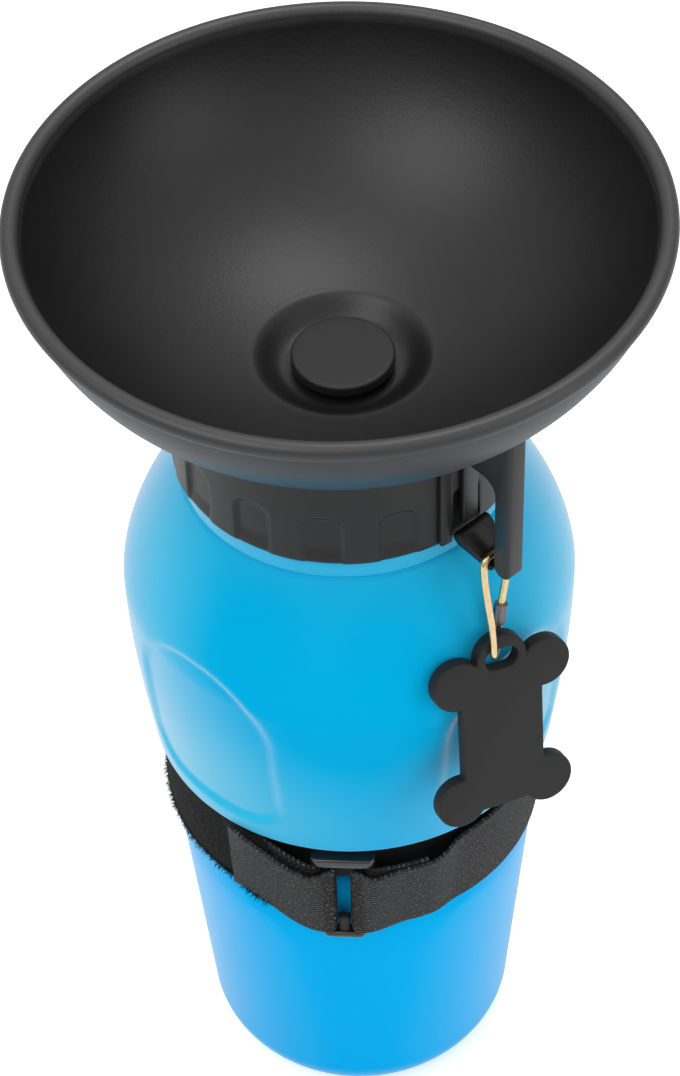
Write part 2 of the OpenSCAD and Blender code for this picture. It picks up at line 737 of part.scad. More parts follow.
strap_z = waist_z0 - strap_drop;
rise_start = ring_azimuth - 6.5;

// Height of the strap's middle; azimuths run leftwards from the right of the ring, 45 to -315
function strap_mid(az) = strap_z + strap_rise * (
    az > -90 ? smooth((rise_start - az) / rise_arc) : smooth(1 - (-az - 90) / 225));

// A ribbon t thick and w wide along a route of [x, y, outward x, outward y, height of its middle]
module ribbon(route, t, w) {
    points = [for (p = route) for (c = [[-t, -w], [t, -w], [t, w], [-t, w]] / 2)
        [p[0] + p[2] * c[0], p[1] + p[3] * c[0], p[4] + c[1]]];
    last = 4 * (len(route) - 1);
    sides = [for (a = [0:4:last - 4]) for (k = [0:3]) let (b = a + (k + 1) % 4) [a + k, a + k + 4, b + 4, b]];
    polyhedron(points, concat(sides, [[0, 1, 2, 3], [last + 3, last + 2, last + 1, last]]), convexity = 6);
}

// A stretch of route round the bottle; facing is 1 with its upper side outwards and -1 inwards
function round_body(az0, az1, r0, r1, fade, facing, n) = [for (i = [0:n]) let (
    az = az0 + (az1 - az0) * i / n,
    r = r0 + (r1 - r0) * smooth(abs(az - az0) / fade)
) concat(polar(r, az), facing * polar(1, az), [strap_mid(az > 45 ? az - 360 : az)])];

// The turn round a side bar of the ring, on the side of the gap, from the inner side to the outer
function round_bar(side, facing, n = 8) = [for (i = [0:n]) let (
    az = ring_azimuth + side * bar_half_angle,
    phi = 180 - 180 * i / n,
    out = cos(phi) * polar(1, az) - side * sin(phi) * [cos(az), sin(az)]
) concat(polar(bar_r, az) + turn_r * out, facing * out, [strap_mid(min(az, 0))])];

module waist_band() {
    color([0.06, 0.06, 0.07]) translate([0, 0, waist_z0 + (waist_h - waist_band_w) / 2]) difference() {
        cylinder(r = band_r, h = waist_band_w);
        translate([0, 0, -1]) cylinder(r = waist_r + 0.1, h = big);
    }
}

// One length of webbing: a sewn return that lies inside, the turn round the right bar, the way round
// the bottle, the turn round the left bar, and the tail that closes over the pile
module hand_strap() {
    right = ring_azimuth + bar_half_angle;
    left = ring_azimuth - bar_half_angle;
    over = right + sewn_arc + 1;
    color([0.16, 0.16, 0.17]) ribbon(concat(
        [for (i = [8:-1:1]) round_body(right, right + sewn_arc, strap_mid_r, strap_mid_r, 1, 1, 8)[i]],
        round_bar(1, -1),
        [for (i = [1:10]) round_body(right, over, bar_r + turn_r, return_r, sewn_arc * 0.7, -1, 10)[i]],
        [for (i = [1:65]) round_body(over, left + 360, return_r, strap_mid_r, 10, -1, 66)[i]],
        round_bar(-1, 1),
        [for (i = [1:14]) round_body(left, tail_end, bar_r + turn_r, tail_r, 22, 1, 14)[i]]
    ), web_t, web_w);
}

// The ring: two round side bars between a top and a bottom bar
module strap_ring() {
    half_h = web_w / 2 + 0.4;
    color([0.05, 0.05, 0.055]) translate([0, 0, strap_z]) rotate([0, 0, ring_azimuth]) {
        for (a = [-bar_half_angle, bar_half_angle]) rotate([0, 0, a]) translate([0, -bar_r, -half_h - 0.1])
            cylinder(r = ring_wire_r, h = 2 * half_h + ring_slack + 0.2);
        translate([-ring_top_w / 2, -bar_r - ring_depth / 2, half_h + ring_slack])
            cube([ring_top_w, ring_depth, ring_top_h]);
        translate([-tongue_w / 2, -bar_r - ring_wire_r, -half_h - 0.1]) cube([tongue_w, 2 * ring_wire_r, tongue_h]);
        translate([-ring_foot_w / 2, -bar_r - ring_depth / 2, -half_h - ring_foot_h])
            cube([ring_foot_w, ring_depth, ring_foot_h]);
    }
}

module pile_patch() {
    r = strap_r + web_t + layer_gap + pile_t / 2;
    color([0.05, 0.05, 0.05]) ribbon(round_body(pile_start, pile_end, r, r, 1, 1, 24), pile_t, pile_w);
}

module hook_patch() {
    r = tail_r - web_t / 2 - layer_gap - hook_patch_t / 2;
    color([0.08, 0.08, 0.09])
        ribbon(round_body(pile_start - 6, tail_end + 1, r, r, 1, 1, 8), hook_patch_t, hook_patch_w);
}

bottle();
neck_gasket();
screw_collar();
bowl_seal();
drinking_bowl();
hook_leg();
hook_gate();
tube_holder();
dip_tube();
stem_guide();
stopper_disc();
stopper_washer();
valve_stem();
stem_clip();
brass_link();
link_clasp();
bone_tag();
waist_band();
hand_strap();
strap_ring();
hook_patch();
pile_patch();
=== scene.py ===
"""A dog's travel bottle: squeeze bottle, bowl lid with a stopper, snap hook with a bone tag, hand strap."""

import math

import bmesh
import bpy
from mathutils import Matrix, Vector


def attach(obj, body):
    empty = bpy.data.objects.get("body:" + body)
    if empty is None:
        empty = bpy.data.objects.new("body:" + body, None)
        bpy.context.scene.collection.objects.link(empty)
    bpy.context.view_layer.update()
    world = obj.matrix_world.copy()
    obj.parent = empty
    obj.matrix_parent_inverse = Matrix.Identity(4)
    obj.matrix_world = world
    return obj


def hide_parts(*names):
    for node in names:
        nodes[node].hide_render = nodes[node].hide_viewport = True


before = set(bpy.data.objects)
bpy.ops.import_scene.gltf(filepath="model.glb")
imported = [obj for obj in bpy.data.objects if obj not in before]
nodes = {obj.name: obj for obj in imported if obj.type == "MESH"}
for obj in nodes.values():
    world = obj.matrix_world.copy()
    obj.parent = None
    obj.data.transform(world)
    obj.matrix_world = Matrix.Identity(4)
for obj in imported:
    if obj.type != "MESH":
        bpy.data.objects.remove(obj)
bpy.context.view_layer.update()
scene = bpy.context.scene

MM = 0.001

# Sizes in millimetres. Heights are above the foot; azimuths in degrees turn from the front (-Y) towards +X.
FOOT_R, FOOT_ROUND = 33.2, 10.0
BODY_R, BODY_H, BODY_SHOULDER_H = 37.5, 66.0, 17.0
WAIST_R, WAIST_H = 34.8, 16.3
DOME_EDGE_R, DOME_R, BULGE_H = 41.4, 44.5, 40.7
SHOULDER_H, SHOULDER_TOP_R, LEDGE_H, SHOULDER_BEND = 28.6, 31.9, 4.8, 1.6
BOTTLE_WALL, FLOOR_T = 1.4, 1.8
NECK_R, NECK_WALL, NECK_H = 29.5, 2.5, 12.7
THREAD_PITCH, THREAD_TURNS, THREAD_DEPTH = 4.0, 1.5, 1.3
GRIP_COUNT, GRIP_AZIMUTH, GRIP_DEPTH = 4, -44.0, 0.8
GRIP_W, GRIP_H, GRIP_Z = 36.0, 44.0, 25.3

COLLAR_R, COLLAR_GAP, GASKET_T, PLATE_T = 33.3, 0.6, 1.5, 2.4
FLUTE_COUNT, FLUTE_AZIMUTH = 15, -8.0
FLUTE_W, FLUTE_H, FLUTE_DEPTH = 8.2, 12.4, 0.8
RIB_W, RIB_H, RIB_ANGLE = 2.6, 1.2, 9.5

RIM_R, LIP_W, BOWL_H, BOWL_WALL = 60.0, 3.4, 41.0, 2.7
RECESS_R, RECESS_FLOOR_T, BOSS_R = 15.8, 2.4, 17.5
SPOUT_R, SPOUT_BORE_R, SPOUT_L = 6.5, 5.0, 9.0
SEAT_R, SEAT_H = 7.0, 0.4
STOPPER_R, STOPPER_T, WASHER_T = 9.7, 2.4, 0.8

HOOK_AZIMUTH, HOOK_T = 41.0, 3.6
LEG_IN_R, LEG_OUT_R, LEG_DROP = 42.0, 46.2, 3.5
EYE_TOP_H, EYE_ROUND = 19.5, 3.0

WIRE_R, LINK_TOP_R, LINK_TOP_DROP, LINK_BEND = 0.7, 40.7, 0.3, 1.5
TAG_T, TAG_AZIMUTH, TAG_LEAN, TAG_TURN = 3.0, 25.0, 15.0, -5.3
SLOT_R = 2.2

WEB_W, WEB_T = 20.0, 1.1
STRAP_DROP, STRAP_RISE, RISE_ARC = 0.6, 6.6, 24.0
RING_AZIMUTH, RING_WIRE_R, RING_HALF_W = -4.5, 0.9, 3.4
RING_TOP_W, RING_TOP_H, RING_FOOT_W, RING_FOOT_H, RING_DEPTH = 13.0, 2.4, 9.0, 1.6, 3.0
RING_SLACK, TONGUE_H = 1.0, 4.6
SEWN_ARC, TAIL_END = 20.0, -38.0
PILE_START, PILE_END, PILE_T, HOOK_PATCH_T = -26.0, -100.0, 0.7, 0.5
LAYER_GAP, CLEAR = 0.05, 0.3

WAIST_Z = BODY_H + BODY_SHOULDER_H
DOME_Z = WAIST_Z + WAIST_H + 1
WIDEST_Z = DOME_Z + BULGE_H
SHOULDER_TOP_Z = WIDEST_Z + SHOULDER_H
LEDGE_Z = SHOULDER_TOP_Z + LEDGE_H
MOUTH_Z = LEDGE_Z + NECK_H
COLLAR_Z = LEDGE_Z + COLLAR_GAP
PLATE_Z = MOUTH_Z + GASKET_T
BOSS_Z = PLATE_Z + PLATE_T
RIM_Z = BOSS_Z + BOWL_H
RECESS_Z = BOSS_Z + RECESS_FLOOR_T
STRAP_Z = WAIST_Z - STRAP_DROP


def smooth(t):
    t = min(1.0, max(0.0, t))
    return t * t * (3 - 2 * t)


def blend(a, b, t):
    return a + (b - a) * t


def polar(r, azimuth):
    a = math.radians(azimuth)
    return r * math.sin(a), -r * math.cos(a)


def arc(cx, cy, r, a0, a1, n):
    turns = [math.radians(blend(a0, a1, i / n)) for i in range(n + 1)]
    return [(cx + r * math.cos(a), cy + r * math.sin(a)) for a in turns]


# ---------- nodes ----------

def set_sockets(node, **values):
    """Sets a node's sockets by name, with _ for a space. A name that is no socket is one of its settings."""
    for key, value in values.items():
        socket = key.replace("_", " ")
        if socket in node.inputs:
            node.inputs[socket].default_value = value
        else:
            setattr(node, key, value)


def add_node(tree, kind, links=None, **values):
    """A new node. links maps a socket to what feeds it, and values are those of set_sockets."""
    node = tree.nodes.new(kind)
    set_sockets(node, **values)
    for socket, source in (links or {}).items():
        tree.links.new(source, node.inputs[socket])
    return node


def maths(tree, operation, a, b=0.0):
    """One sum on two values, each a number or another node's output."""
    node = tree.nodes.new("ShaderNodeMath")
    node.operation = operation
    for socket, value in zip(node.inputs, (a, b)):
        if isinstance(value, float):
            socket.default_value = value
        else:
            tree.links.new(value, socket)
    return node.outputs["Value"]


def between(tree, value, low=0.0, high=1.0, **more):
    """Goes from 0 to 1, or from To_Min to To_Max, as a value goes from low to high."""
    level = add_node(tree, "ShaderNodeMapRange", {"Value": value}, From_Min=low, From_Max=high, **more)
    return level.outputs["Result"]


def start_finish(name):
    mat = bpy.data.materials.new(name)
    mat.use_nodes = True
    return mat, mat.node_tree, mat.node_tree.nodes["Principled BSDF"]


# ---------- camera, light and floor ----------

CAMERA_AT = Vector((0.0, -0.42143, 0.60181))
CAMERA_PITCH, CAMERA_YAW, CAMERA_ROLL = 47.2136, -0.227, -1.8919
CAMERA_LENS = 105.947


def place_camera():
    pitch, yaw, roll = map(math.radians, (CAMERA_PITCH, CAMERA_YAW, CAMERA_ROLL))
    ahead = Vector((math.sin(yaw) * math.cos(pitch), math.cos(yaw) * math.cos(pitch), -math.sin(pitch)))
    level = Vector((math.cos(yaw), -math.sin(yaw), 0))
    above = level.cross(ahead)
    right = level * math.cos(roll) + above * math.sin(roll)
    up = above * math.cos(roll) - level * math.sin(roll)
    data = bpy.data.cameras.new("camera")
    data.lens = CAMERA_LENS
    data.sensor_width = 36
    data.clip_start, data.clip_end = 0.05, 20
    camera = bpy.data.objects.new("camera", data)
    turn = Matrix((right, up, -ahead)).transposed()
    camera.matrix_world = Matrix.Translation(CAMERA_AT) @ turn.to_4x4()
    scene.collection.objects.link(camera)
    scene.camera = camera


def soft_box(name, at, target, size, power):
    """An area lamp that looks at a point; sizes in metres, power in watts."""
    data = bpy.data.lights.new(name, "AREA")
    data.shape = "RECTANGLE"
    data.size, data.size_y = size
    data.energy = power
    lamp = bpy.data.objects.new(name, data)
    way = (Vector(target) - Vector(at)).to_track_quat("-Z", "Y")
    lamp.matrix_world = Matrix.Translation(at) @ way.to_matrix().to_4x4()
    scene.collection.objects.link(lamp)


def light_world(horizon, zenith):
    """A white room, brighter overhead; the camera sees it plain white."""
    world = bpy.data.worlds.new("white_room")
    scene.world = world
    world.use_nodes = True
    tree = world.node_tree
    background = tree.nodes["Background"]
    background.inputs["Color"].default_value = (1, 1, 1, 1)
    way = tree.nodes.new("ShaderNodeTexCoord")
    split = add_node(tree, "ShaderNodeSeparateXYZ", {"Vector": way.outputs["Generated"]})
    height = between(tree, split.outputs["Z"], 0.1, 0.75, To_Min=horizon, To_Max=zenith,
                     interpolation_type="SMOOTHSTEP")
    path = tree.nodes.new("ShaderNodeLightPath")
    seen = add_node(tree, "ShaderNodeMix", {"Factor": path.outputs["Is Camera Ray"], "A": height}, B=1.0)
    tree.links.new(seen.outputs["Result"], background.inputs["Strength"])


def lay_floor(half, glow):
    """A pale floor. half is half its width in metres; glow lifts it towards white for the camera alone."""
    mesh = bpy.data.meshes.new("floor")
    corners = [(-half, -half, 0), (half, -half, 0), (half, half, 0), (-half, half, 0)]
    mesh.from_pydata(corners, [], [(0, 1, 2, 3)])
    floor = bpy.data.objects.new("floor", mesh)
    scene.collection.objects.link(floor)
    mat, tree, shader = start_finish("pale_floor")
    set_sockets(shader, Base_Color=(0.86, 0.86, 0.87, 1), Roughness=0.9, Specular_IOR_Level=0.0,
                Emission_Color=(1, 1, 1, 1))
    path = tree.nodes.new("ShaderNodeLightPath")
    lift = between(tree, path.outputs["Is Camera Ray"], To_Max=glow)
    tree.links.new(lift, shader.inputs["Emission Strength"])
    mesh.materials.append(mat)


scene.view_settings.view_transform = "Standard"
place_camera()
light_world(0.36, 1.0)
soft_box("key_light", (-0.55, -0.45, 1.15), (0, 0, 0.15), (0.7, 0.7), 4.8)
soft_box("top_light", (0.15, 0.35, 1.2), (0, 0, 0.2), (0.5, 0.5), 3.5)
soft_box("side_light", (0.9, -0.5, 0.5), (0, 0, 0.12), (0.5, 0.8), 2.0)
lay_floor(3.0, 0.48)


# ---------- finishes ----------

def place_of(tree):
    return tree.nodes.new("ShaderNodeTexCoord").outputs["Object"]


def height_in(tree, place):
    return add_node(tree, "ShaderNodeSeparateXYZ", {"Vector": place}).outputs["Z"]


def mottle(tree, place, scale, detail=3.0, **more):
    """An uneven value round a half; the higher the scale, the finer its spots."""
    noise = add_node(tree, "ShaderNodeTexNoise", {"Vector": place}, Scale=float(scale), Detail=detail, **more)
    return noise.outputs["Fac"]


def mix_colours(tree, share, *colours):
    """Goes from the first colour to the second; each is a tuple or another node's output."""
    mix = add_node(tree, "ShaderNodeMix", {"Factor": share}, data_type="RGBA")
    for socket, colour in zip(("A", "B"), colours):
        if isinstance(colour, tuple):
            mix.inputs[socket].default_value = (*colour, 1)
        else:
            tree.links.new(colour, mix.inputs[socket])
    return mix.outputs["Result"]


def vary_colour(tree, shader, fac, dark, light, low=0.3, high=0.7):
    """Base colour that runs from dark to light as fac goes from low to high."""
    ramp = add_node(tree, "ShaderNodeValToRGB", {"Fac": fac})
    first, last = ramp.color_ramp.elements
    first.position, first.color = low, (*dark, 1)
    last.position, last.color = high, (*light, 1)
    tree.links.new(ramp.outputs["Color"], shader.inputs["Base Color"])
    return ramp.outputs["Color"]


def vary_roughness(tree, shader, fac, low, high):
    tree.links.new(between(tree, fac, To_Min=low, To_Max=high), shader.inputs["Roughness"])


def raise_bump(tree, shader, height, distance, strength=1.0):
    bump = add_node(tree, "ShaderNodeBump", {"Height": height}, Strength=strength, Distance=distance)
    tree.links.new(bump.outputs["Normal"], shader.inputs["Normal"])


def moulded(name, dark, light, rough, grain, grain_depth=0.00003, coat=0.0, specular=0.5):
    """Moulded plastic or rubber: a broad uneven tone, a fine grain and slightly uneven gloss."""
    mat, tree, shader = start_finish(name)
    place = place_of(tree)
    broad = mottle(tree, place, 38)
    vary_colour(tree, shader, broad, dark, light)
    vary_roughness(tree, shader, broad, *rough)
    raise_bump(tree, shader, mottle(tree, place, grain, 2.0), grain_depth)
    set_sockets(shader, Specular_IOR_Level=specular, Coat_Weight=coat, Coat_Roughness=0.18)
    return mat


HIGHLIGHT_FADE, HIGHLIGHT_WANDER = 0.0015, 0.0012  # metres over which the painted highlight comes in, and its edge wanders


def paint_highlight_above(mat, height, pale):
    """Paints a paler highlight into the colour above a height in metres, with an uneven edge."""
    tree = mat.node_tree
    base = tree.nodes["Principled BSDF"].inputs["Base Color"]
    place = place_of(tree)
    wander = maths(tree, "MULTIPLY", mottle(tree, place, 120), HIGHLIGHT_WANDER)
    level = maths(tree, "ADD", height_in(tree, place), wander)
    highlight_share = between(tree, level, height, height + HIGHLIGHT_FADE)
    tree.links.new(mix_colours(tree, highlight_share, base.links[0].from_socket, pale), base)


# Heights in metres over which the bottle's blue changes, at the waist and at the shoulder.
WAIST_FADE, SHOULDER_FADE = (0.078, 0.106), (0.138, 0.158)
# Where the veil starts and is whole, from 0 where the wall is seen square on to 1 where it is seen edge on.
VEIL_START, VEIL_WHOLE = 0.52, 0.95


def translucent_blue():
    """The squeeze bottle's soft blue: blotches of painted shade and painted reflection in the thin dome,
    deeper below the waist, and a pale veil where the wall is seen edge on, weaker below the waist and
    reaching further round at the shoulder."""
    mat, tree, shader = start_finish("squeeze_blue")
    place = place_of(tree)
    height = height_in(tree, place)
    upper = between(tree, height, *WAIST_FADE, interpolation_type="SMOOTHSTEP")
    shoulder = between(tree, height, *SHOULDER_FADE)
    blotch_noise = mottle(tree, place, 19, 0.5)
    # painted shade and painted reflection: blotches of deeper blue and paler teal in the dome's colour
    painted_shade_and_reflection = between(tree, blotch_noise, 0.36, 0.66, interpolation_type="SMOOTHSTEP")
    dome = mix_colours(tree, painted_shade_and_reflection, (0.0, 0.415, 0.745), (0.034, 0.49, 0.76))
    tree.links.new(mix_colours(tree, upper, (0.0, 0.437, 0.88), dome), shader.inputs["Base Color"])
    vary_roughness(tree, shader, blotch_noise, 0.30, 0.38)
    raise_bump(tree, shader, mottle(tree, place, 900, 2.0), 0.00002)
    facing = add_node(tree, "ShaderNodeLayerWeight", Blend=0.5).outputs["Facing"]
    start = maths(tree, "SUBTRACT", VEIL_START, maths(tree, "MULTIPLY", upper, 0.1))
    start = maths(tree, "SUBTRACT", start, maths(tree, "MULTIPLY", shoulder, 0.2))
    veil = add_node(tree, "ShaderNodeMapRange", {"Value": facing, "From Min": start}, From_Max=VEIL_WHOLE)
    veil = maths(tree, "MULTIPLY", veil.outputs["Result"], between(tree, upper, To_Min=0.55))
    tree.links.new(between(tree, veil, To_Min=0.01, To_Max=0.65), shader.inputs["Specular IOR Level"])
    tree.links.new(maths(tree, "MULTIPLY", veil, 0.46), shader.inputs["Sheen Weight"])
    set_sockets(shader, Sheen_Tint=(0.95, 0.93, 0.88, 1), Sheen_Roughness=0.5)
    return mat


def metal(name, colour, rough):
    """Drawn or pressed metal with fine scratches."""
    mat, tree, shader = start_finish(name)
    scratched = mottle(tree, place_of(tree), 1400)
    vary_colour(tree, shader, scratched, tuple(0.82 * c for c in colour), colour)
    vary_roughness(tree, shader, scratched, *rough)
    raise_bump(tree, shader, scratched, 0.00001)
    set_sockets(shader, Metallic=1.0)
    return mat


# The webbing in one unit of its UV map, its knuckles' spacing along and across it, and its zigzag's width.
UV_UNIT, PICK, WALE, ZIGZAG = 20.0, 0.95, 0.8, 2.4


def woven(name, gap, yarn, painted_glint):
    """Woven webbing: yarn knuckles in a diagonal grid that zigzags across the strap, a few of them with a
    painted glint.
    """
    mat, tree, shader = start_finish(name)
    cloth = add_node(tree, "ShaderNodeUVMap", uv_map="cloth").outputs["UV"]
    split = add_node(tree, "ShaderNodeSeparateXYZ", {"Vector": cloth})
    across = split.outputs["Y"]
    slant = maths(tree, "MULTIPLY", maths(tree, "PINGPONG", across, ZIGZAG / UV_UNIT), 0.5)
    along = maths(tree, "ADD", split.outputs["X"], slant)
    along = maths(tree, "ADD", along, maths(tree, "MULTIPLY", mottle(tree, cloth, 14, 2.0), 0.03))
    wave_u = maths(tree, "COSINE", maths(tree, "MULTIPLY", along, math.pi * UV_UNIT / PICK))
    wave_v = maths(tree, "COSINE", maths(tree, "MULTIPLY", across, math.pi * UV_UNIT / WALE))
    knuckle = maths(tree, "ABSOLUTE", maths(tree, "MULTIPLY", wave_u, wave_v))
    plain = vary_colour(tree, shader, knuckle, gap, yarn, 0.15, 0.95)
    # painted glint: a few knuckles are coloured brighter where the yarn would catch the light
    painted_glint_share = maths(tree, "MULTIPLY", between(tree, mottle(tree, cloth, 34, Roughness=0.7), 0.51, 0.68), knuckle)
    tree.links.new(mix_colours(tree, painted_glint_share, plain, painted_glint), shader.inputs["Base Color"])
    raise_bump(tree, shader, knuckle, 0.00025, 0.8)
    set_sockets(shader, Roughness=0.6, Specular_IOR_Level=0.32, Sheen_Weight=0.08, Sheen_Roughness=0.4)
    return mat


def brushed_pile(name, dark, light):
    """The matt ground that the patch's fibres stand on, and the fibres."""
    mat, tree, shader = start_finish(name)
    tufts = mottle(tree, place_of(tree), 1300)
    vary_colour(tree, shader, tufts, dark, light)
    raise_bump(tree, shader, tufts, 0.0003)
    set_sockets(shader, Roughness=0.95, Specular_IOR_Level=0.1, Sheen_Weight=0.05)
    return mat


def grey(level):
    return level, level, level


PAINTED_HIGHLIGHT_RIM = 2.6  # millimetres of the bowl's rim that get a painted paler highlight

SQUEEZE_BLUE = translucent_blue()
BOWL_BLACK = moulded("bowl_black", grey(0.004), grey(0.007), (0.36, 0.46), 1500, specular=0.42)
# painted highlight: the top of the bowl's rim is coloured paler
paint_highlight_above(BOWL_BLACK, (RIM_Z - PAINTED_HIGHLIGHT_RIM) * MM, grey(0.032))
COLLAR_BLACK = moulded("collar_black", grey(0.004), grey(0.007), (0.34, 0.44), 1800, specular=0.32)
HOOK_BLACK = moulded("hook_black", grey(0.006), grey(0.010), (0.38, 0.48), 1800)
STOPPER_BLACK = moulded("stopper_black", grey(0.006), grey(0.009), (0.5, 0.6), 2600, 0.00004, specular=0.4)
TAG_RUBBER = moulded("tag_rubber", grey(0.010), grey(0.015), (0.55, 0.66), 3200, 0.00005, specular=0.34)
BAND_RUBBER = moulded("band_rubber", grey(0.002), grey(0.004), (0.6, 0.7), 2400)
SEAL_SILICONE = moulded("seal_silicone", (0.36, 0.38, 0.41), (0.46, 0.48, 0.51), (0.5, 0.6), 1500, 0.00002)
TUBE_MILKY = moulded("tube_milky", (0.66, 0.68, 0.71), (0.76, 0.78, 0.81), (0.22, 0.3), 900, 0.00001)
RING_GLOSS = moulded("ring_gloss", grey(0.006), grey(0.010), (0.16, 0.24), 900, 0.00001, coat=0.5)
BRASS_WIRE = metal("brass_wire", (0.86, 0.66, 0.36), (0.18, 0.3))
CLASP_DARK = metal("clasp_dark", (0.20, 0.20, 0.22), (0.3, 0.42))
# the last colour is the painted glint on a few of the webbing's knuckles
WEBBING = woven("charcoal_webbing", grey(0.001), (0.013, 0.0125, 0.0125), (0.19, 0.185, 0.185))
PILE = brushed_pile("black_pile", grey(0.003), grey(0.010))


# ---------- making pieces ----------

def new_piece(name, points, faces, finish, crease, cloth=None):
    """A piece from points in millimetres, smooth but for edges that turn by more than crease degrees.
    cloth gives each point a place in the cloth's own UV map."""
    mesh = bpy.data.meshes.new(name)
    mesh.from_pydata([(x * MM, y * MM, z * MM) for x, y, z in points], [], faces)
    mesh.update()
    if cloth:
        layer = mesh.uv_layers.new(name="cloth")
        for loop in mesh.loops:
            layer.data[loop.index].uv = cloth[loop.vertex_index]
    piece = bpy.data.objects.new(name, mesh)
    scene.collection.objects.link(piece)
    soften(piece, crease)
    mesh.materials.append(finish)
    return piece


def soften(piece, crease):
    piece.data.shade_smooth()
    piece.data.set_sharp_from_angle(angle=math.radians(crease))


def bake_modifiers(piece):
    """Turns a piece with modifiers into a plain mesh."""
    shape = piece.evaluated_get(bpy.context.evaluated_depsgraph_get())
    mesh = bpy.data.meshes.new_from_object(shape)
    piece.modifiers.clear()
    piece.data = mesh
    mesh.name = piece.name


def fit(piece, body, slot, *replaced):
    """Rides a piece on its body, and hides the CAD nodes that it stands for. slot is not used."""
    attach(piece, body)
    if replaced:
        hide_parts(*replaced)


def lathe(name, outline, finish, steps, crease, sink=None, sunk_from=0.0):
    """Turns an outline of (radius, height) round the axis: up the outside and down the inside.
    sink(azimuth, height) is how far the surface sinks in there, beyond the radius sunk_from."""
    rows, points = [], []
    for r, z in outline:
        count = 1 if r < 1e-6 else steps
        rows.append([len(points) + k for k in range(count)])
        for k in range(count):
            azimuth = 360.0 * k / steps
            depth = sink(azimuth, z) if sink and r > sunk_from else 0.0
            points.append((*polar(r - depth if count > 1 else 0.0, azimuth), z))
    pairs = list(zip(rows, rows[1:]))
    if len(rows[0]) > 1:
        pairs.append((rows[-1], rows[0]))
    faces = []
    for low, high in pairs:
        for k in range(steps):
            m = (k + 1) % steps
            corners = (low[k % len(low)], low[m % len(low)], high[m % len(high)], high[k % len(high)])
            face = list(dict.fromkeys(corners))
            if len(face) > 2:
                faces.append(face)
    return new_piece(name, points, faces, finish, crease)


def round_edges(piece, width, segments, crease, clamp=True):
    """Rounds off the edges that turn by more than crease degrees, to a width in millimetres."""
    bevel = piece.modifiers.new("round", "BEVEL")
    bevel.width = width * MM
    bevel.segments = segments
    bevel.limit_method = "ANGLE"
    bevel.angle_limit = math.radians(crease)
    bevel.use_clamp_overlap = clamp
    bake_modifiers(piece)
    soften(piece, crease)


def rounded_copy(name, node, finish, width, segments, crease):
    """A copy of a CAD node with its sharp edges rounded off."""
    mesh = nodes[node].data.copy()
    mesh.name = name
    work = bmesh.new()
    work.from_mesh(mesh)
    bmesh.ops.remove_doubles(work, verts=work.verts, dist=0.00001)
    bmesh.ops.dissolve_limit(work, angle_limit=math.radians(1.0), verts=work.verts, edges=work.edges)
    work.to_mesh(mesh)
    work.free()
    mesh.materials.clear()
    mesh.materials.append(finish)
    piece = bpy.data.objects.new(name, mesh)
    scene.collection.objects.link(piece)
    round_edges(piece, width, segments, crease, clamp=False)
    return piece


def new_tree(name, sizes):
    """A geometry tree with named inputs, given as (label, socket kind, value)."""
    tree = bpy.data.node_groups.new(name, "GeometryNodeTree")
    tree.interface.new_socket("Geometry", in_out="INPUT", socket_type="NodeSocketGeometry")
    for label, kind, value in sizes:
        socket = tree.interface.new_socket(label, in_out="INPUT", socket_type=kind)
        socket.default_value = value
    tree.interface.new_socket("Geometry", in_out="OUTPUT", socket_type="NodeSocketGeometry")
    return tree, tree.nodes.new("NodeGroupInput"), tree.nodes.new("NodeGroupOutput")


def finish_tree(tree, shape, out, finish):
    """Ends a tree with a whole mesh in one finish."""
    real = add_node(tree, "GeometryNodeRealizeInstances", {"Geometry": shape})
    coated = add_node(tree, "GeometryNodeSetMaterial", {"Geometry": real.outputs["Geometry"]},
                      Material=finish)
    tree.links.new(coated.outputs["Geometry"], out.inputs["Geometry"])


GROWN_CREASE = 40  # degrees, past which an edge of a grown piece stays sharp


def grow(piece, tree, **sizes):
    """Runs a geometry tree on a piece, with sizes by label, and keeps the result as a plain mesh."""
    modifier = piece.modifiers.new(tree.name, "NODES")
    modifier.node_group = tree
    for item in tree.interface.items_tree:
        label = item.name.replace(" ", "_").lower()
        if item.in_out == "INPUT" and label in sizes:
            modifier[item.identifier] = sizes[label]
    bake_modifiers(piece)
    soften(piece, GROWN_CREASE)
    return piece


def path_piece(name, points, closed=False):
    """A bare line of points in millimetres, for a tree to work along."""
    mesh = bpy.data.meshes.new(name)
    edges = [(i, i + 1) for i in range(len(points) - 1)]
    if closed:
        edges.append((len(points) - 1, 0))
    mesh.from_pydata([tuple(c * MM for c in p) for p in points], edges, [])
    piece = bpy.data.objects.new(name, mesh)
    scene.collection.objects.link(piece)
    return piece


def sweep_round(tree, line, radius, given, out, finish):
    """Sweeps a round section along a line, with the tree's own number of sides, and ends the tree."""
    section = add_node(tree, "GeometryNodeCurvePrimitiveCircle",
                       {"Radius": radius, "Resolution": given.outputs["Sides"]})
    swept = add_node(tree, "GeometryNodeCurveToMesh",
                     {"Curve": line.outputs["Curve"], "Profile Curve": section.outputs["Curve"]},
                     Fill_Caps=True)
    finish_tree(tree, swept.outputs["Mesh"], out, finish)
    return tree


def wire_tree(finish):
    """Bends a round wire along a line."""
    tree, given, out = new_tree("wire_" + finish.name, [("Radius", "NodeSocketFloat", 0.0007),
                                                        ("Sides", "NodeSocketInt", 20)])
    line = add_node(tree, "GeometryNodeMeshToCurve", {"Mesh": given.outputs["Geometry"]})
    return sweep_round(tree, line, given.outputs["Radius"], given, out, finish)


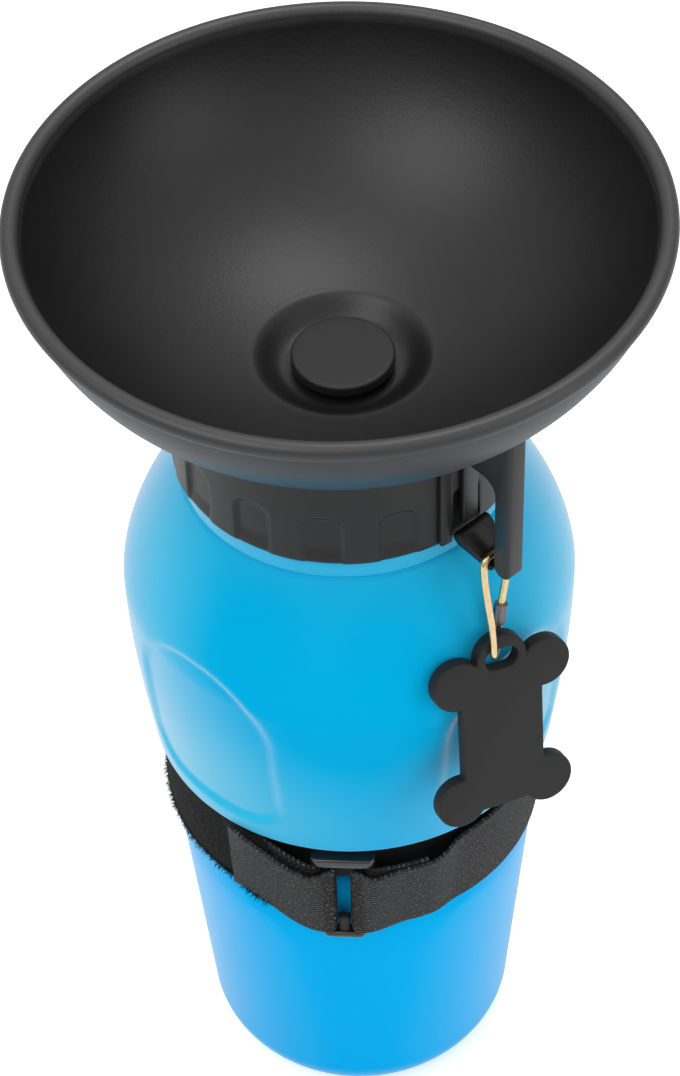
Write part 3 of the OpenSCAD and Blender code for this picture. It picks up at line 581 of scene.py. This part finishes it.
def thread_tree(finish):
    """A screw thread's ridge: a spiral line with a ridge swept along it."""
    tree, given, out = new_tree("thread_ridge", [
        ("Turns", "NodeSocketFloat", THREAD_TURNS), ("Radius", "NodeSocketFloat", 0.03),
        ("Rise", "NodeSocketFloat", 0.006), ("Ridge", "NodeSocketFloat", 0.0009),
        ("Sides", "NodeSocketInt", 10)])
    line = add_node(tree, "GeometryNodeCurveSpiral",
                    {"Rotations": given.outputs["Turns"], "Start Radius": given.outputs["Radius"],
                     "End Radius": given.outputs["Radius"], "Height": given.outputs["Rise"]}, Resolution=96)
    return sweep_round(tree, line, given.outputs["Ridge"], given, out, finish)


FIBRE_SPAN = (0.5, 1.15)  # the shortest and the longest fibre, as shares of the named length


def fibre_tree(finish):
    """Stands short fibres on a surface at random, leaning by a named amount."""
    tree, given, out = new_tree("fibres", [
        ("Density", "NodeSocketFloat", 8e6), ("Length", "NodeSocketFloat", 0.0008),
        ("Thickness", "NodeSocketFloat", 0.00007), ("Lean", "NodeSocketFloat", 0.7),
        ("Seed", "NodeSocketInt", 3)])
    spots = add_node(tree, "GeometryNodeDistributePointsOnFaces",
                     {"Mesh": given.outputs["Geometry"], "Density": given.outputs["Density"],
                      "Seed": given.outputs["Seed"]})
    fibre = add_node(tree, "GeometryNodeMeshCone",
                     {"Radius Bottom": given.outputs["Thickness"], "Depth": given.outputs["Length"]},
                     Vertices=3, Radius_Top=0.00002)
    most = given.outputs["Lean"]
    least = maths(tree, "MULTIPLY", most, -1.0)
    low = add_node(tree, "ShaderNodeCombineXYZ", {"X": least, "Y": least})
    high = add_node(tree, "ShaderNodeCombineXYZ", {"X": most, "Y": most}, Z=6.28)
    lean = add_node(tree, "FunctionNodeRandomValue", data_type="FLOAT_VECTOR")
    tree.links.new(low.outputs["Vector"], lean.inputs["Min"])
    tree.links.new(high.outputs["Vector"], lean.inputs["Max"])
    turn = add_node(tree, "FunctionNodeEulerToRotation", {"Euler": lean.outputs["Value"]})
    leaning = add_node(tree, "FunctionNodeRotateRotation", {"Rotation": spots.outputs["Rotation"],
                                                            "Rotate By": turn.outputs["Rotation"]})
    leaning.rotation_space = "LOCAL"
    tall = add_node(tree, "FunctionNodeRandomValue", data_type="FLOAT")
    for socket, value in zip([s for s in tall.inputs if s.type == "VALUE"], FIBRE_SPAN):
        socket.default_value = value
    grown = add_node(tree, "GeometryNodeInstanceOnPoints",
                     {"Points": spots.outputs["Points"], "Instance": fibre.outputs["Mesh"]})
    tree.links.new(leaning.outputs["Rotation"], grown.inputs["Rotation"])
    size = next(s for s in tall.outputs if s.type == "VALUE")
    tree.links.new(size, grown.inputs["Scale"])
    finish_tree(tree, grown.outputs["Instances"], out, finish)
    return tree


# ---------- bottle ----------

def dome_at(z):
    """The dome's radius at a height."""
    if z < WIDEST_Z:
        return DOME_EDGE_R + (DOME_R - DOME_EDGE_R) * math.sin(math.pi / 2 * (z - DOME_Z) / BULGE_H)
    return blend(DOME_R, SHOULDER_TOP_R, ((z - WIDEST_Z) / SHOULDER_H) ** SHOULDER_BEND)


def body_line(inset):
    """The tapered body from the foot to the waist, inset millimetres inside its surface."""
    foot = arc(FOOT_R - FOOT_ROUND, FOOT_ROUND, FOOT_ROUND - inset, -90, 0, 14)
    taper = [i / 8 for i in range(1, 8)]
    side = [(blend(FOOT_R, BODY_R, t) - inset, blend(FOOT_ROUND, BODY_H, t)) for t in taper]
    turns = [math.radians(90 * i / 16) for i in range(17)]
    top = [(WAIST_R - inset + (BODY_R - WAIST_R) * math.cos(a), BODY_H + BODY_SHOULDER_H * math.sin(a))
           for a in turns]
    return foot + side + top


def dome_line(inset, z0, z1, n):
    heights = [blend(z0, z1, i / n) for i in range(n + 1)]
    return [(dome_at(z) - inset, z) for z in heights]


def off_nearest(azimuth, first, count):
    """Degrees to an azimuth from the nearest of a count of places round the axis."""
    pitch = 360.0 / count
    return (azimuth - first + pitch / 2) % pitch - pitch / 2


def inside_by(x, y, half_w, half_h, corner):
    """How far a point is inside a round-cornered shape of a given half width and half height."""
    return corner - math.hypot(max(0.0, x - (half_w - corner)), max(0.0, y - (half_h - corner)))


GRIP_TOP_CORNER, GRIP_FOOT_CORNER, GRIP_STEP = 17.0, 9.0, 2.2


def grip_sink(azimuth, z):
    """Depth of the finger panels: flat inside, with a soft step round a shape that is rounder at its top."""
    y = z - DOME_Z - GRIP_Z
    if abs(y) > GRIP_H / 2:
        return 0.0
    x = abs(dome_at(z) * math.sin(math.radians(off_nearest(azimuth, GRIP_AZIMUTH, GRIP_COUNT))))
    corner = GRIP_TOP_CORNER if y > 0 else GRIP_FOOT_CORNER
    return GRIP_DEPTH * smooth(inside_by(x, abs(y), GRIP_W / 2, GRIP_H / 2, corner) / GRIP_STEP)


def make_bottle():
    """The bottle, whose line runs up the outside and down the inside, and the thread on its neck."""
    lip, fillet, brim, ring = 0.5, 0.8, 0.7, 0.5
    waist_top = WAIST_Z + WAIST_H - fillet
    outside = [(0, 0)] + body_line(0) + [(WAIST_R, waist_top)]
    outside += arc(WAIST_R + fillet, waist_top, fillet, 180, 90, 4)
    outside += [(DOME_EDGE_R - 0.9, DOME_Z - 0.95)]
    outside += arc(DOME_EDGE_R - brim, DOME_Z - 0.2, brim, -80, -10, 5)
    outside += dome_line(0, DOME_Z + 0.3, WIDEST_Z, 64)
    outside += dome_line(0, WIDEST_Z + 0.5, SHOULDER_TOP_Z - 0.2, 60)
    # a groove at the foot of the ring under the neck
    outside += [(SHOULDER_TOP_R - 0.5, SHOULDER_TOP_Z + 0.1), (SHOULDER_TOP_R - 0.55, SHOULDER_TOP_Z + 0.45),
                (SHOULDER_TOP_R - 0.1, SHOULDER_TOP_Z + 0.8), (SHOULDER_TOP_R, LEDGE_Z - 0.9)]
    outside += arc(SHOULDER_TOP_R - ring, LEDGE_Z - ring, ring, 0, 90, 4)
    outside += [(NECK_R + 0.3, LEDGE_Z), (NECK_R, LEDGE_Z + 0.3)]
    outside += arc(NECK_R - lip, MOUTH_Z - lip, lip, 0, 90, 4)
    bore, shelf_z = NECK_R - NECK_WALL, DOME_Z + BOTTLE_WALL
    inside = arc(bore + lip, MOUTH_Z - lip, lip, 90, 180, 4) + [(bore, SHOULDER_TOP_Z + 1.4)]
    inside += dome_line(BOTTLE_WALL, SHOULDER_TOP_Z - 1, WIDEST_Z + 0.5, 30)
    inside += dome_line(BOTTLE_WALL, WIDEST_Z, shelf_z + 0.6, 64) + [(WAIST_R - BOTTLE_WALL, shelf_z)]
    inside += [(r, max(z, FLOOR_T)) for r, z in reversed(body_line(BOTTLE_WALL))] + [(0, FLOOR_T)]
    shell = lathe("squeeze_bottle", outside + inside, SQUEEZE_BLUE, 288, 30, grip_sink)
    fit(shell, "bottle_body", "bottle", "bottle")
    seed = path_piece("neck_thread", [(0, 0, 0), (0, 0, 1)])
    ridge = grow(seed, thread_tree(SQUEEZE_BLUE), radius=(NECK_R + 0.2) * MM,
                 rise=THREAD_PITCH * THREAD_TURNS * MM, ridge=0.85 * MM)
    ridge.data.transform(Matrix.Translation((0, 0, (LEDGE_Z + 3) * MM)))
    fit(ridge, "bottle_body", "bottle")


# ---------- lid ----------

BOWL_CENTRE_Z = RIM_Z + 5
BOWL_A, BOWL_B = RIM_R - LIP_W + 0.6, BOWL_H + 0.8  # the bowl's ellipse: half its width, and its depth
ROOT_DEPTH, ROOT_RISE = 0.4, 0.2  # how far the rib and the hook reach into the collar, and up into the bowl


def bowl_face(r, wall):
    """Height of the bowl's inner face at a radius, or of one that is wall millimetres outside it."""
    return BOWL_CENTRE_Z - (BOWL_B + wall) * math.sqrt(1 - (r / (BOWL_A + wall)) ** 2)


def spread(r0, r1, n):
    """Radii from r0 to r1, closer together towards r1, where the bowl is steep."""
    return [blend(r0, r1, math.sin(math.pi / 2 * i / n)) for i in range(n + 1)]


def make_bowl():
    """The drinking bowl: its spout and outside, its rolled rim, and its inside down to the recess."""
    lip, spout_foot = LIP_W / 2, BOSS_Z - SPOUT_L
    outside = [(SPOUT_BORE_R, spout_foot), (SPOUT_R, spout_foot), (SPOUT_R, BOSS_Z), (BOSS_R, BOSS_Z)]
    outside += [(r, bowl_face(r, BOWL_WALL)) for r in spread(BOSS_R, RIM_R - 1.3, 40)]
    rim = arc(RIM_R - lip, RIM_Z - lip, lip, -30, 180, 20)
    edge, foot = RECESS_R + 1.4, SEAT_R + 3.5
    inside = [(r, bowl_face(r, 0)) for r in reversed(spread(edge, BOWL_A - 0.7, 56))]
    drop = bowl_face(edge, 0) - RECESS_Z
    for t in [i / 20 for i in range(1, 21)]:
        inside.append((blend(edge, foot, t), RECESS_Z + drop * (1 - smooth(t)) ** 1.3))
    inside += [(SEAT_R + 0.1, RECESS_Z), (SEAT_R, RECESS_Z + SEAT_H), (SPOUT_BORE_R, RECESS_Z + SEAT_H)]
    bowl = lathe("bowl_shell", outside + rim + inside, BOWL_BLACK, 288, 38)
    fit(bowl, "cap", "lid", "drinking_bowl")


FLUTE_CORNER, FLUTE_STEP = 3.2, 1.1
FLUTE_FOOT_SHARE, FLUTE_RUN_OUT = 0.3, 4  # the share of its depth at the foot, and the height it deepens over


def flute_sink(azimuth, z):
    """Depth of the collar's flutes, which run out shallow at the bottom and have rounded upper corners."""
    y = z - COLLAR_Z
    if y > FLUTE_H:
        return 0.0
    x = abs(math.radians(off_nearest(azimuth, FLUTE_AZIMUTH, FLUTE_COUNT))) * COLLAR_R
    inside = inside_by(x, y, FLUTE_W / 2, FLUTE_H, FLUTE_CORNER)
    return FLUTE_DEPTH * smooth(inside / FLUTE_STEP) * blend(FLUTE_FOOT_SHARE, 1.0, smooth(y / FLUTE_RUN_OUT))


def make_collar():
    """The lid's fluted skirt with its plate, and the rib beside the hook."""
    bore, inner, spout = NECK_R + THREAD_DEPTH + 0.4, COLLAR_R - 2.5, SPOUT_R + 0.05
    low = [blend(COLLAR_Z + 0.5, COLLAR_Z + FLUTE_H + 0.6, i / 26) for i in range(27)]
    outside = [(bore, COLLAR_Z), (COLLAR_R - 0.5, COLLAR_Z), (COLLAR_R - 0.15, COLLAR_Z + 0.15)]
    outside += [(COLLAR_R, z) for z in low] + [(COLLAR_R, bowl_face(COLLAR_R, BOWL_WALL) + 0.25)]
    inside = [(inner, bowl_face(inner, BOWL_WALL)), (inner, BOSS_Z), (spout, BOSS_Z), (spout, PLATE_Z),
              (bore, PLATE_Z)]
    collar = lathe("fluted_collar", outside + inside, COLLAR_BLACK, 720, 50, flute_sink, bore + 0.1)
    fit(collar, "cap", "lid", "screw_collar")
    back, front, foot = COLLAR_R - ROOT_DEPTH, COLLAR_R + RIB_H, COLLAR_Z + 0.5
    top = bowl_face(front, BOWL_WALL) + ROOT_RISE
    outline = [(back, foot), (front, foot), (front, top), (back, top)]
    rib = slab("collar_rib", outline, RIB_W, upright(HOOK_AZIMUTH - RIB_ANGLE), COLLAR_BLACK, 0.35)
    fit(rib, "cap", "lid")


def make_stopper():
    base = RECESS_Z + SEAT_H + WASHER_T
    top, foot_cut, edge = base + STOPPER_T, 0.4, 0.6
    outline = [(0, base), (STOPPER_R - foot_cut, base), (STOPPER_R, base + foot_cut)]
    outline += arc(STOPPER_R - edge, top - edge, edge, 0, 90, 6)
    outline += [(STOPPER_R - 1.6, top), (0, top)]
    stopper = lathe("stopper_button", outline, STOPPER_BLACK, 128, 35)
    fit(stopper, "valve", "lid", "stopper_disc")


# ---------- snap hook ----------

def upright(azimuth):
    """Turns a drawing of (radius, height, sideways) into the upright plane at an azimuth."""
    out = Vector((*polar(1, azimuth), 0))
    side = Vector((*polar(1, azimuth + 90), 0))
    return lambda r, z, s: out * r + side * s + Vector((0, 0, z))


SLAB_CREASE = 35  # degrees, past which an edge of a slab is rounded off


def slab(name, outline, thickness, place, finish, width, segments=3):
    """An outline given a thickness, with its edges rounded off."""
    n = len(outline)
    points = [tuple(place(r, z, s)) for s in (-thickness / 2, thickness / 2) for r, z in outline]
    faces = [tuple(range(n)), tuple(range(2 * n - 1, n - 1, -1))]
    faces += [(i, i + n, (i + 1) % n + n, (i + 1) % n) for i in range(n)]
    piece = new_piece(name, points, faces, finish, SLAB_CREASE)
    work = bmesh.new()
    work.from_mesh(piece.data)
    bmesh.ops.recalc_face_normals(work, faces=work.faces)
    work.to_mesh(piece.data)
    work.free()
    round_edges(piece, width, segments, SLAB_CREASE)
    return piece


def make_hook():
    """The hook's rigid half: a web from the collar to the bowl, and a leg that hangs from it past the eye."""
    back, proud, root = COLLAR_R - ROOT_DEPTH, COLLAR_R + 1.1, COLLAR_Z + 3.4
    eye_top, tip = COLLAR_Z + EYE_TOP_H, COLLAR_Z - LEG_DROP
    half, small = (LEG_OUT_R - LEG_IN_R) / 2, 1.5
    outline = [(back, root), (proud, root)]
    outline += arc(proud + small, eye_top - small, small, 180, 90, 6)
    outline += arc(LEG_IN_R - EYE_ROUND, eye_top - EYE_ROUND, EYE_ROUND, 90, 0, 8)
    outline += arc(LEG_IN_R + half, tip + half, half, 180, 360, 14)
    under = [blend(LEG_OUT_R, back, i / 10) for i in range(11)]
    outline += [(r, bowl_face(r, BOWL_WALL) + ROOT_RISE) for r in under]
    leg = slab("hook_bracket", outline, HOOK_T, upright(HOOK_AZIMUTH), HOOK_BLACK, 0.45)
    fit(leg, "cap", "lid", "hook_leg")


def make_gate():
    gate = rounded_copy("spring_gate", "hook_gate", COLLAR_BLACK, 0.35, 3, 40)
    fit(gate, "gate", "lid", "hook_gate")


# ---------- link and tag ----------

TAG_SHIFT, TAG_LIFT, TAG_STAND = 9.6, 4.5, 0.15  # where the slot is, from the point on the dome it is set by


def tag_matrix():
    """Places the tag: its slot's middle at the origin and its face along -Y, leaning on the dome."""
    touch_z = WIDEST_Z + 6
    lean = Matrix.Rotation(math.radians(-TAG_LEAN), 4, "X")
    turn = Matrix.Rotation(math.radians(-TAG_TURN), 4, "Y")
    slot = Matrix.Translation((TAG_SHIFT, -CLEAR - TAG_STAND - TAG_T / 2, TAG_LIFT))
    touch = Matrix.Translation((0, -dome_at(touch_z), touch_z))
    return Matrix.Rotation(math.radians(TAG_AZIMUTH), 4, "Z") @ touch @ lean @ slot @ turn


HOOK_PLAY, TAG_PLAY = 0.75, 0.35  # the wire's room on each side of the hook and of the tag
CRIMP_STOPS = (0.60, 0.64, 0.68, 0.72, 0.78)  # where the crimp runs, as shares of the link's length
CRIMP_WALL = 0.6


def link_route():
    """The bent wire's middle line, a loop that is square at both ends and twists from the hook to the tag,
    and the stretch of one strand that the crimp is on."""
    tag, hook = tag_matrix(), upright(HOOK_AZIMUTH)
    side_top = hook(0, 0, 1)
    side_foot = tag.to_3x3() @ Vector((0.56, 0.83, 0)).normalized()
    top = hook(LINK_TOP_R, COLLAR_Z - LINK_TOP_DROP, 0.35)
    foot = tag @ Vector((-0.6, 0, SLOT_R - WIRE_R - 0.45))
    half_top, half_foot = HOOK_T / 2 + WIRE_R + HOOK_PLAY, TAG_T / 2 + WIRE_R + TAG_PLAY
    length, b, steps = (foot - top).length, LINK_BEND, 20
    run = [(blend(half_top, half_foot, smooth(i / steps)), b + (length - 2 * b) * i / steps)
           for i in range(1, steps)]
    flat = arc(-half_top + b, b, b, 180, 270, 8) + arc(half_top - b, b, b, 270, 360, 8) + run
    flat += arc(half_foot - b, length - b, b, 0, 90, 8) + arc(-half_foot + b, length - b, b, 90, 180, 8)
    flat += [(-s, d) for s, d in reversed(run)]

    def put(s, d):
        t = smooth(d / length)
        side = (side_top * (1 - t) + side_foot * t).normalized()
        return top + (foot - top) * d / length + side * s

    strand = [put(blend(half_top, half_foot, smooth((d * length - b) / (length - 2 * b))), d * length)
              for d in CRIMP_STOPS]
    return [put(s, d) for s, d in flat], strand


def make_link():
    route, strand = link_route()
    wire = path_piece("bent_wire_link", route, True)
    grow(wire, wire_tree(BRASS_WIRE), radius=WIRE_R * MM, sides=20)
    fit(wire, "link", "brass", "brass_link")
    crimp = path_piece("link_crimp", strand)
    grow(crimp, wire_tree(CLASP_DARK), radius=(WIRE_R + CRIMP_WALL) * MM, sides=24)
    fit(crimp, "link", "clasp", "link_clasp")


def make_tag():
    tag = rounded_copy("rubber_bone_tag", "bone_tag", TAG_RUBBER, 0.45, 4, 30)
    fit(tag, "tag", "tag", "bone_tag")


# ---------- hand strap ----------

STRAP_R = BODY_R + CLEAR
STRAP_MID_R = STRAP_R + WEB_T / 2
RETURN_R = STRAP_MID_R + WEB_T + LAYER_GAP
TAIL_R = STRAP_MID_R + WEB_T + PILE_T + HOOK_PATCH_T + 3 * LAYER_GAP
BAR_R = STRAP_R + WEB_T + RING_WIRE_R + 0.05
BAR_HALF_ANGLE = math.degrees(math.asin(RING_HALF_W / BAR_R))
TURN_R = RING_WIRE_R + 0.05 + WEB_T / 2
RIB_DEPTH, TURN_RIB_DEPTH = 0.06, 0.2


def strap_mid(azimuth):
    """Height of the strap's middle: it rises to the left of the ring and sinks again round the back."""
    if azimuth > -90:
        return STRAP_Z + STRAP_RISE * smooth((RING_AZIMUTH - 6.5 - azimuth) / RISE_ARC)
    return STRAP_Z + STRAP_RISE * smooth(1 - (-azimuth - 90) / 225)


def lean_at(azimuth):
    """How far the webbing's upper edge stands out, where the ring's top bar holds it off the waist."""
    off = abs(azimuth - RING_AZIMUTH)
    return 2.0 * smooth((off - 4) / 5) * smooth((40 - off) / 14)


STOP_GAP = 0.9  # millimetres between stops along the webbing


def round_body(az0, az1, r0, r1, fade, facing):
    """Stops along the strap round the bottle: place, which way its upper side faces, its middle's height,
    how far its upper edge stands out, and how deep its ribs are."""
    n = max(2, int(abs(math.radians(az1 - az0)) * r0 / STOP_GAP))
    stops = []
    for i in range(n + 1):
        az = blend(az0, az1, i / n)
        r = blend(r0, r1, smooth(abs(az - az0) / fade))
        out = Vector(polar(1, az))
        front = az - 360 if az > 180 else az
        stops.append((Vector(polar(r, az)), facing * out, strap_mid(az - 360 if az > 45 else az),
                      facing * lean_at(front), RIB_DEPTH))
    return stops


def round_bar(side, facing):
    """Stops along the turn round a side bar of the ring, next to the gap, from the inside to the outside."""
    az, n = RING_AZIMUTH + side * BAR_HALF_ANGLE, 12
    along = Vector((math.cos(math.radians(az)), math.sin(math.radians(az))))
    stops = []
    for i in range(n + 1):
        phi = math.pi * (1 - i / n)
        out = math.cos(phi) * Vector(polar(1, az)) - side * math.sin(phi) * along
        stops.append((Vector(polar(BAR_R, az)) + TURN_R * out, facing * out, strap_mid(min(az, 0)), 0.0,
                      TURN_RIB_DEPTH))
    return stops


def webbing(name, stops, thickness, width, finish, rows, ribs):
    """A ribbon along its stops with lengthwise ribs on both faces and rounded woven edges."""
    half, edge = width / 2, thickness / 2
    across = [blend(-half + edge, half - edge, j / rows) for j in range(rows + 1)]

    def sunk(v):
        return 0.5 + 0.5 * math.cos(2 * math.pi * ribs * (v + half) / width)

    def selvedge(v, *turns):
        return [(edge * math.cos(a), v + edge * math.sin(a), 0.0) for a in map(math.radians, turns)]

    section = [(edge, v, -sunk(v)) for v in across] + selvedge(half - edge, 45, 90, 135)
    section += [(-edge, v, sunk(v)) for v in reversed(across)] + selvedge(-half + edge, 225, 270, 315)
    points, cloth, run = [], [], 0.0
    for i, (at, out, z, lean, depth) in enumerate(stops):
        if i:
            run += (at - stops[i - 1][0]).length
        for off, v, sink in section:
            stand = off + depth * sink + lean * (v + half) / width
            points.append((*(at + out * stand), z + v))
            cloth.append((run / UV_UNIT, (v + half) / UV_UNIT))
    m, faces = len(section), []
    for i in range(len(stops) - 1):
        for k in range(m):
            a, b = i * m + k, i * m + (k + 1) % m
            faces.append((a, a + m, b + m, b))
    last = (len(stops) - 1) * m
    faces += [tuple(range(m)), tuple(range(last + m - 1, last - 1, -1))]
    return new_piece(name, points, faces, finish, 60, cloth)


def make_strap():
    """The strap, as one ribbon: from its sewn end to the ring's right bar, all the way round the bottle to
    the left bar, and from there to its free tail."""
    right, left = RING_AZIMUTH + BAR_HALF_ANGLE, RING_AZIMUTH - BAR_HALF_ANGLE
    over = right + SEWN_ARC + 1
    stops = list(reversed(round_body(right, right + SEWN_ARC, STRAP_MID_R, STRAP_MID_R, 1, 1)))[:-1]
    stops += round_bar(1, -1)
    stops += round_body(right, over, BAR_R + TURN_R, RETURN_R, SEWN_ARC * 0.7, -1)[1:]
    stops += round_body(over, left + 360, RETURN_R, STRAP_MID_R, 10, -1)[1:-1]
    stops += round_bar(-1, 1)
    stops += round_body(left, TAIL_END, BAR_R + TURN_R, TAIL_R, 22, 1)[1:]
    strap = webbing("webbing_strap", stops, WEB_T, WEB_W, WEBBING, 100, 25)
    fit(strap, "bottle_body", "webbing", "hand_strap")


def ring_bar(name, width, height, z, finish, depth=RING_DEPTH):
    """A flat bar of the ring: its front edges are well rounded and its ends drawn in a little."""
    out = Vector((*polar(1, RING_AZIMUTH), 0))
    side = Vector((*polar(1, RING_AZIMUTH + 90), 0))
    middle = out * BAR_R + Vector((0, 0, STRAP_Z + z))
    w, d, corner = width / 2, depth / 2, 0.3 * depth
    outline = [(-w, -d), (w, -d), (w, d - corner), (w - corner, d), (-w + corner, d), (-w, d - corner)]
    bar = slab(name, outline, height, lambda x, y, s: middle + side * x + out * y + Vector((0, 0, s)), finish,
               0.2 * depth, 4)
    fit(bar, "bottle_body", "ring")


def make_ring():
    """The strap ring: a wire bar on each side, a broad moulded bar at the top and bottom, and a tongue."""
    half_h, joined = WEB_W / 2 + 0.4, 0.3
    tree = wire_tree(RING_GLOSS)
    for name, turn in (("ring_left_bar", -BAR_HALF_ANGLE), ("ring_right_bar", BAR_HALF_ANGLE)):
        foot = Vector((*polar(BAR_R, RING_AZIMUTH + turn), STRAP_Z))
        route = [tuple(foot + Vector((0, 0, z))) for z in (-half_h - joined, 0, half_h + RING_SLACK + joined)]
        bar = grow(path_piece(name, route), tree, radius=RING_WIRE_R * MM, sides=16)
        fit(bar, "bottle_body", "ring", "strap_ring")
    ring_bar("ring_top_bar", RING_TOP_W, RING_TOP_H, half_h + RING_SLACK + RING_TOP_H / 2, RING_GLOSS)
    ring_bar("ring_bottom_bar", RING_FOOT_W, RING_FOOT_H, -half_h - RING_FOOT_H / 2, RING_GLOSS)
    gap = 2 * (RING_HALF_W - TURN_R - WEB_T / 2)
    ring_bar("ring_tongue", gap - CLEAR, TONGUE_H, TONGUE_H / 2 - half_h - 0.1, BAND_RUBBER, 2 * RING_WIRE_R)


def make_pile():
    """The pile patch and its fibres, which fray past the patch's lower edge."""
    r, width = STRAP_R + WEB_T + LAYER_GAP + PILE_T / 2, WEB_W + 1
    tree, thickness, fringe_w, hem = fibre_tree(PILE), 0.09 * MM, 0.9, 0.4
    shown, bare, under = [round_body(start, PILE_END, r, r, 1, 1)
                          for start in (PILE_START, TAIL_END - 0.6, PILE_START - 1)]
    patch = webbing("pile_patch_base", shown, PILE_T, width, PILE, 26, 26)
    fit(patch, "bottle_body", "pile", "pile_patch")
    fibres = webbing("pile_fibres", bare, PILE_T, width, PILE, 26, 26)
    grow(fibres, tree, density=5.5e6, length=1.0 * MM, thickness=thickness, lean=0.9, seed=5)
    fit(fibres, "bottle_body", "pile")
    low = hem - width / 2
    edge = [(at, out, z + low, lean, depth) for at, out, z, lean, depth in under]
    fringe = webbing("pile_fringe", edge, PILE_T, fringe_w, PILE, 2, 1)
    grow(fringe, tree, density=2.4e7, length=1.9 * MM, thickness=thickness, lean=1.2, seed=8)
    fit(fringe, "bottle_body", "pile")


def make_waist_band():
    waist = rounded_copy("waist_band_rubber", "waist_band", BAND_RUBBER, 0.4, 3, 40)
    fit(waist, "bottle_body", "band", "waist_band")


make_bottle()
make_bowl()
make_collar()
make_stopper()
make_hook()
make_gate()
make_link()
make_tag()
make_strap()
make_ring()
make_pile()
make_waist_band()

# The CAD nodes that stay as they are, with their finishes.
KEPT_NODES = {
    "neck_gasket": SEAL_SILICONE, "bowl_seal": SEAL_SILICONE, "stopper_washer": SEAL_SILICONE,
    "tube_holder": TUBE_MILKY, "dip_tube": TUBE_MILKY, "stem_guide": TUBE_MILKY, "stem_clip": TUBE_MILKY,
    "valve_stem": STOPPER_BLACK, "hook_patch": PILE,
}
for node, finish in KEPT_NODES.items():
    for slot in nodes[node].material_slots:
        slot.material = finish
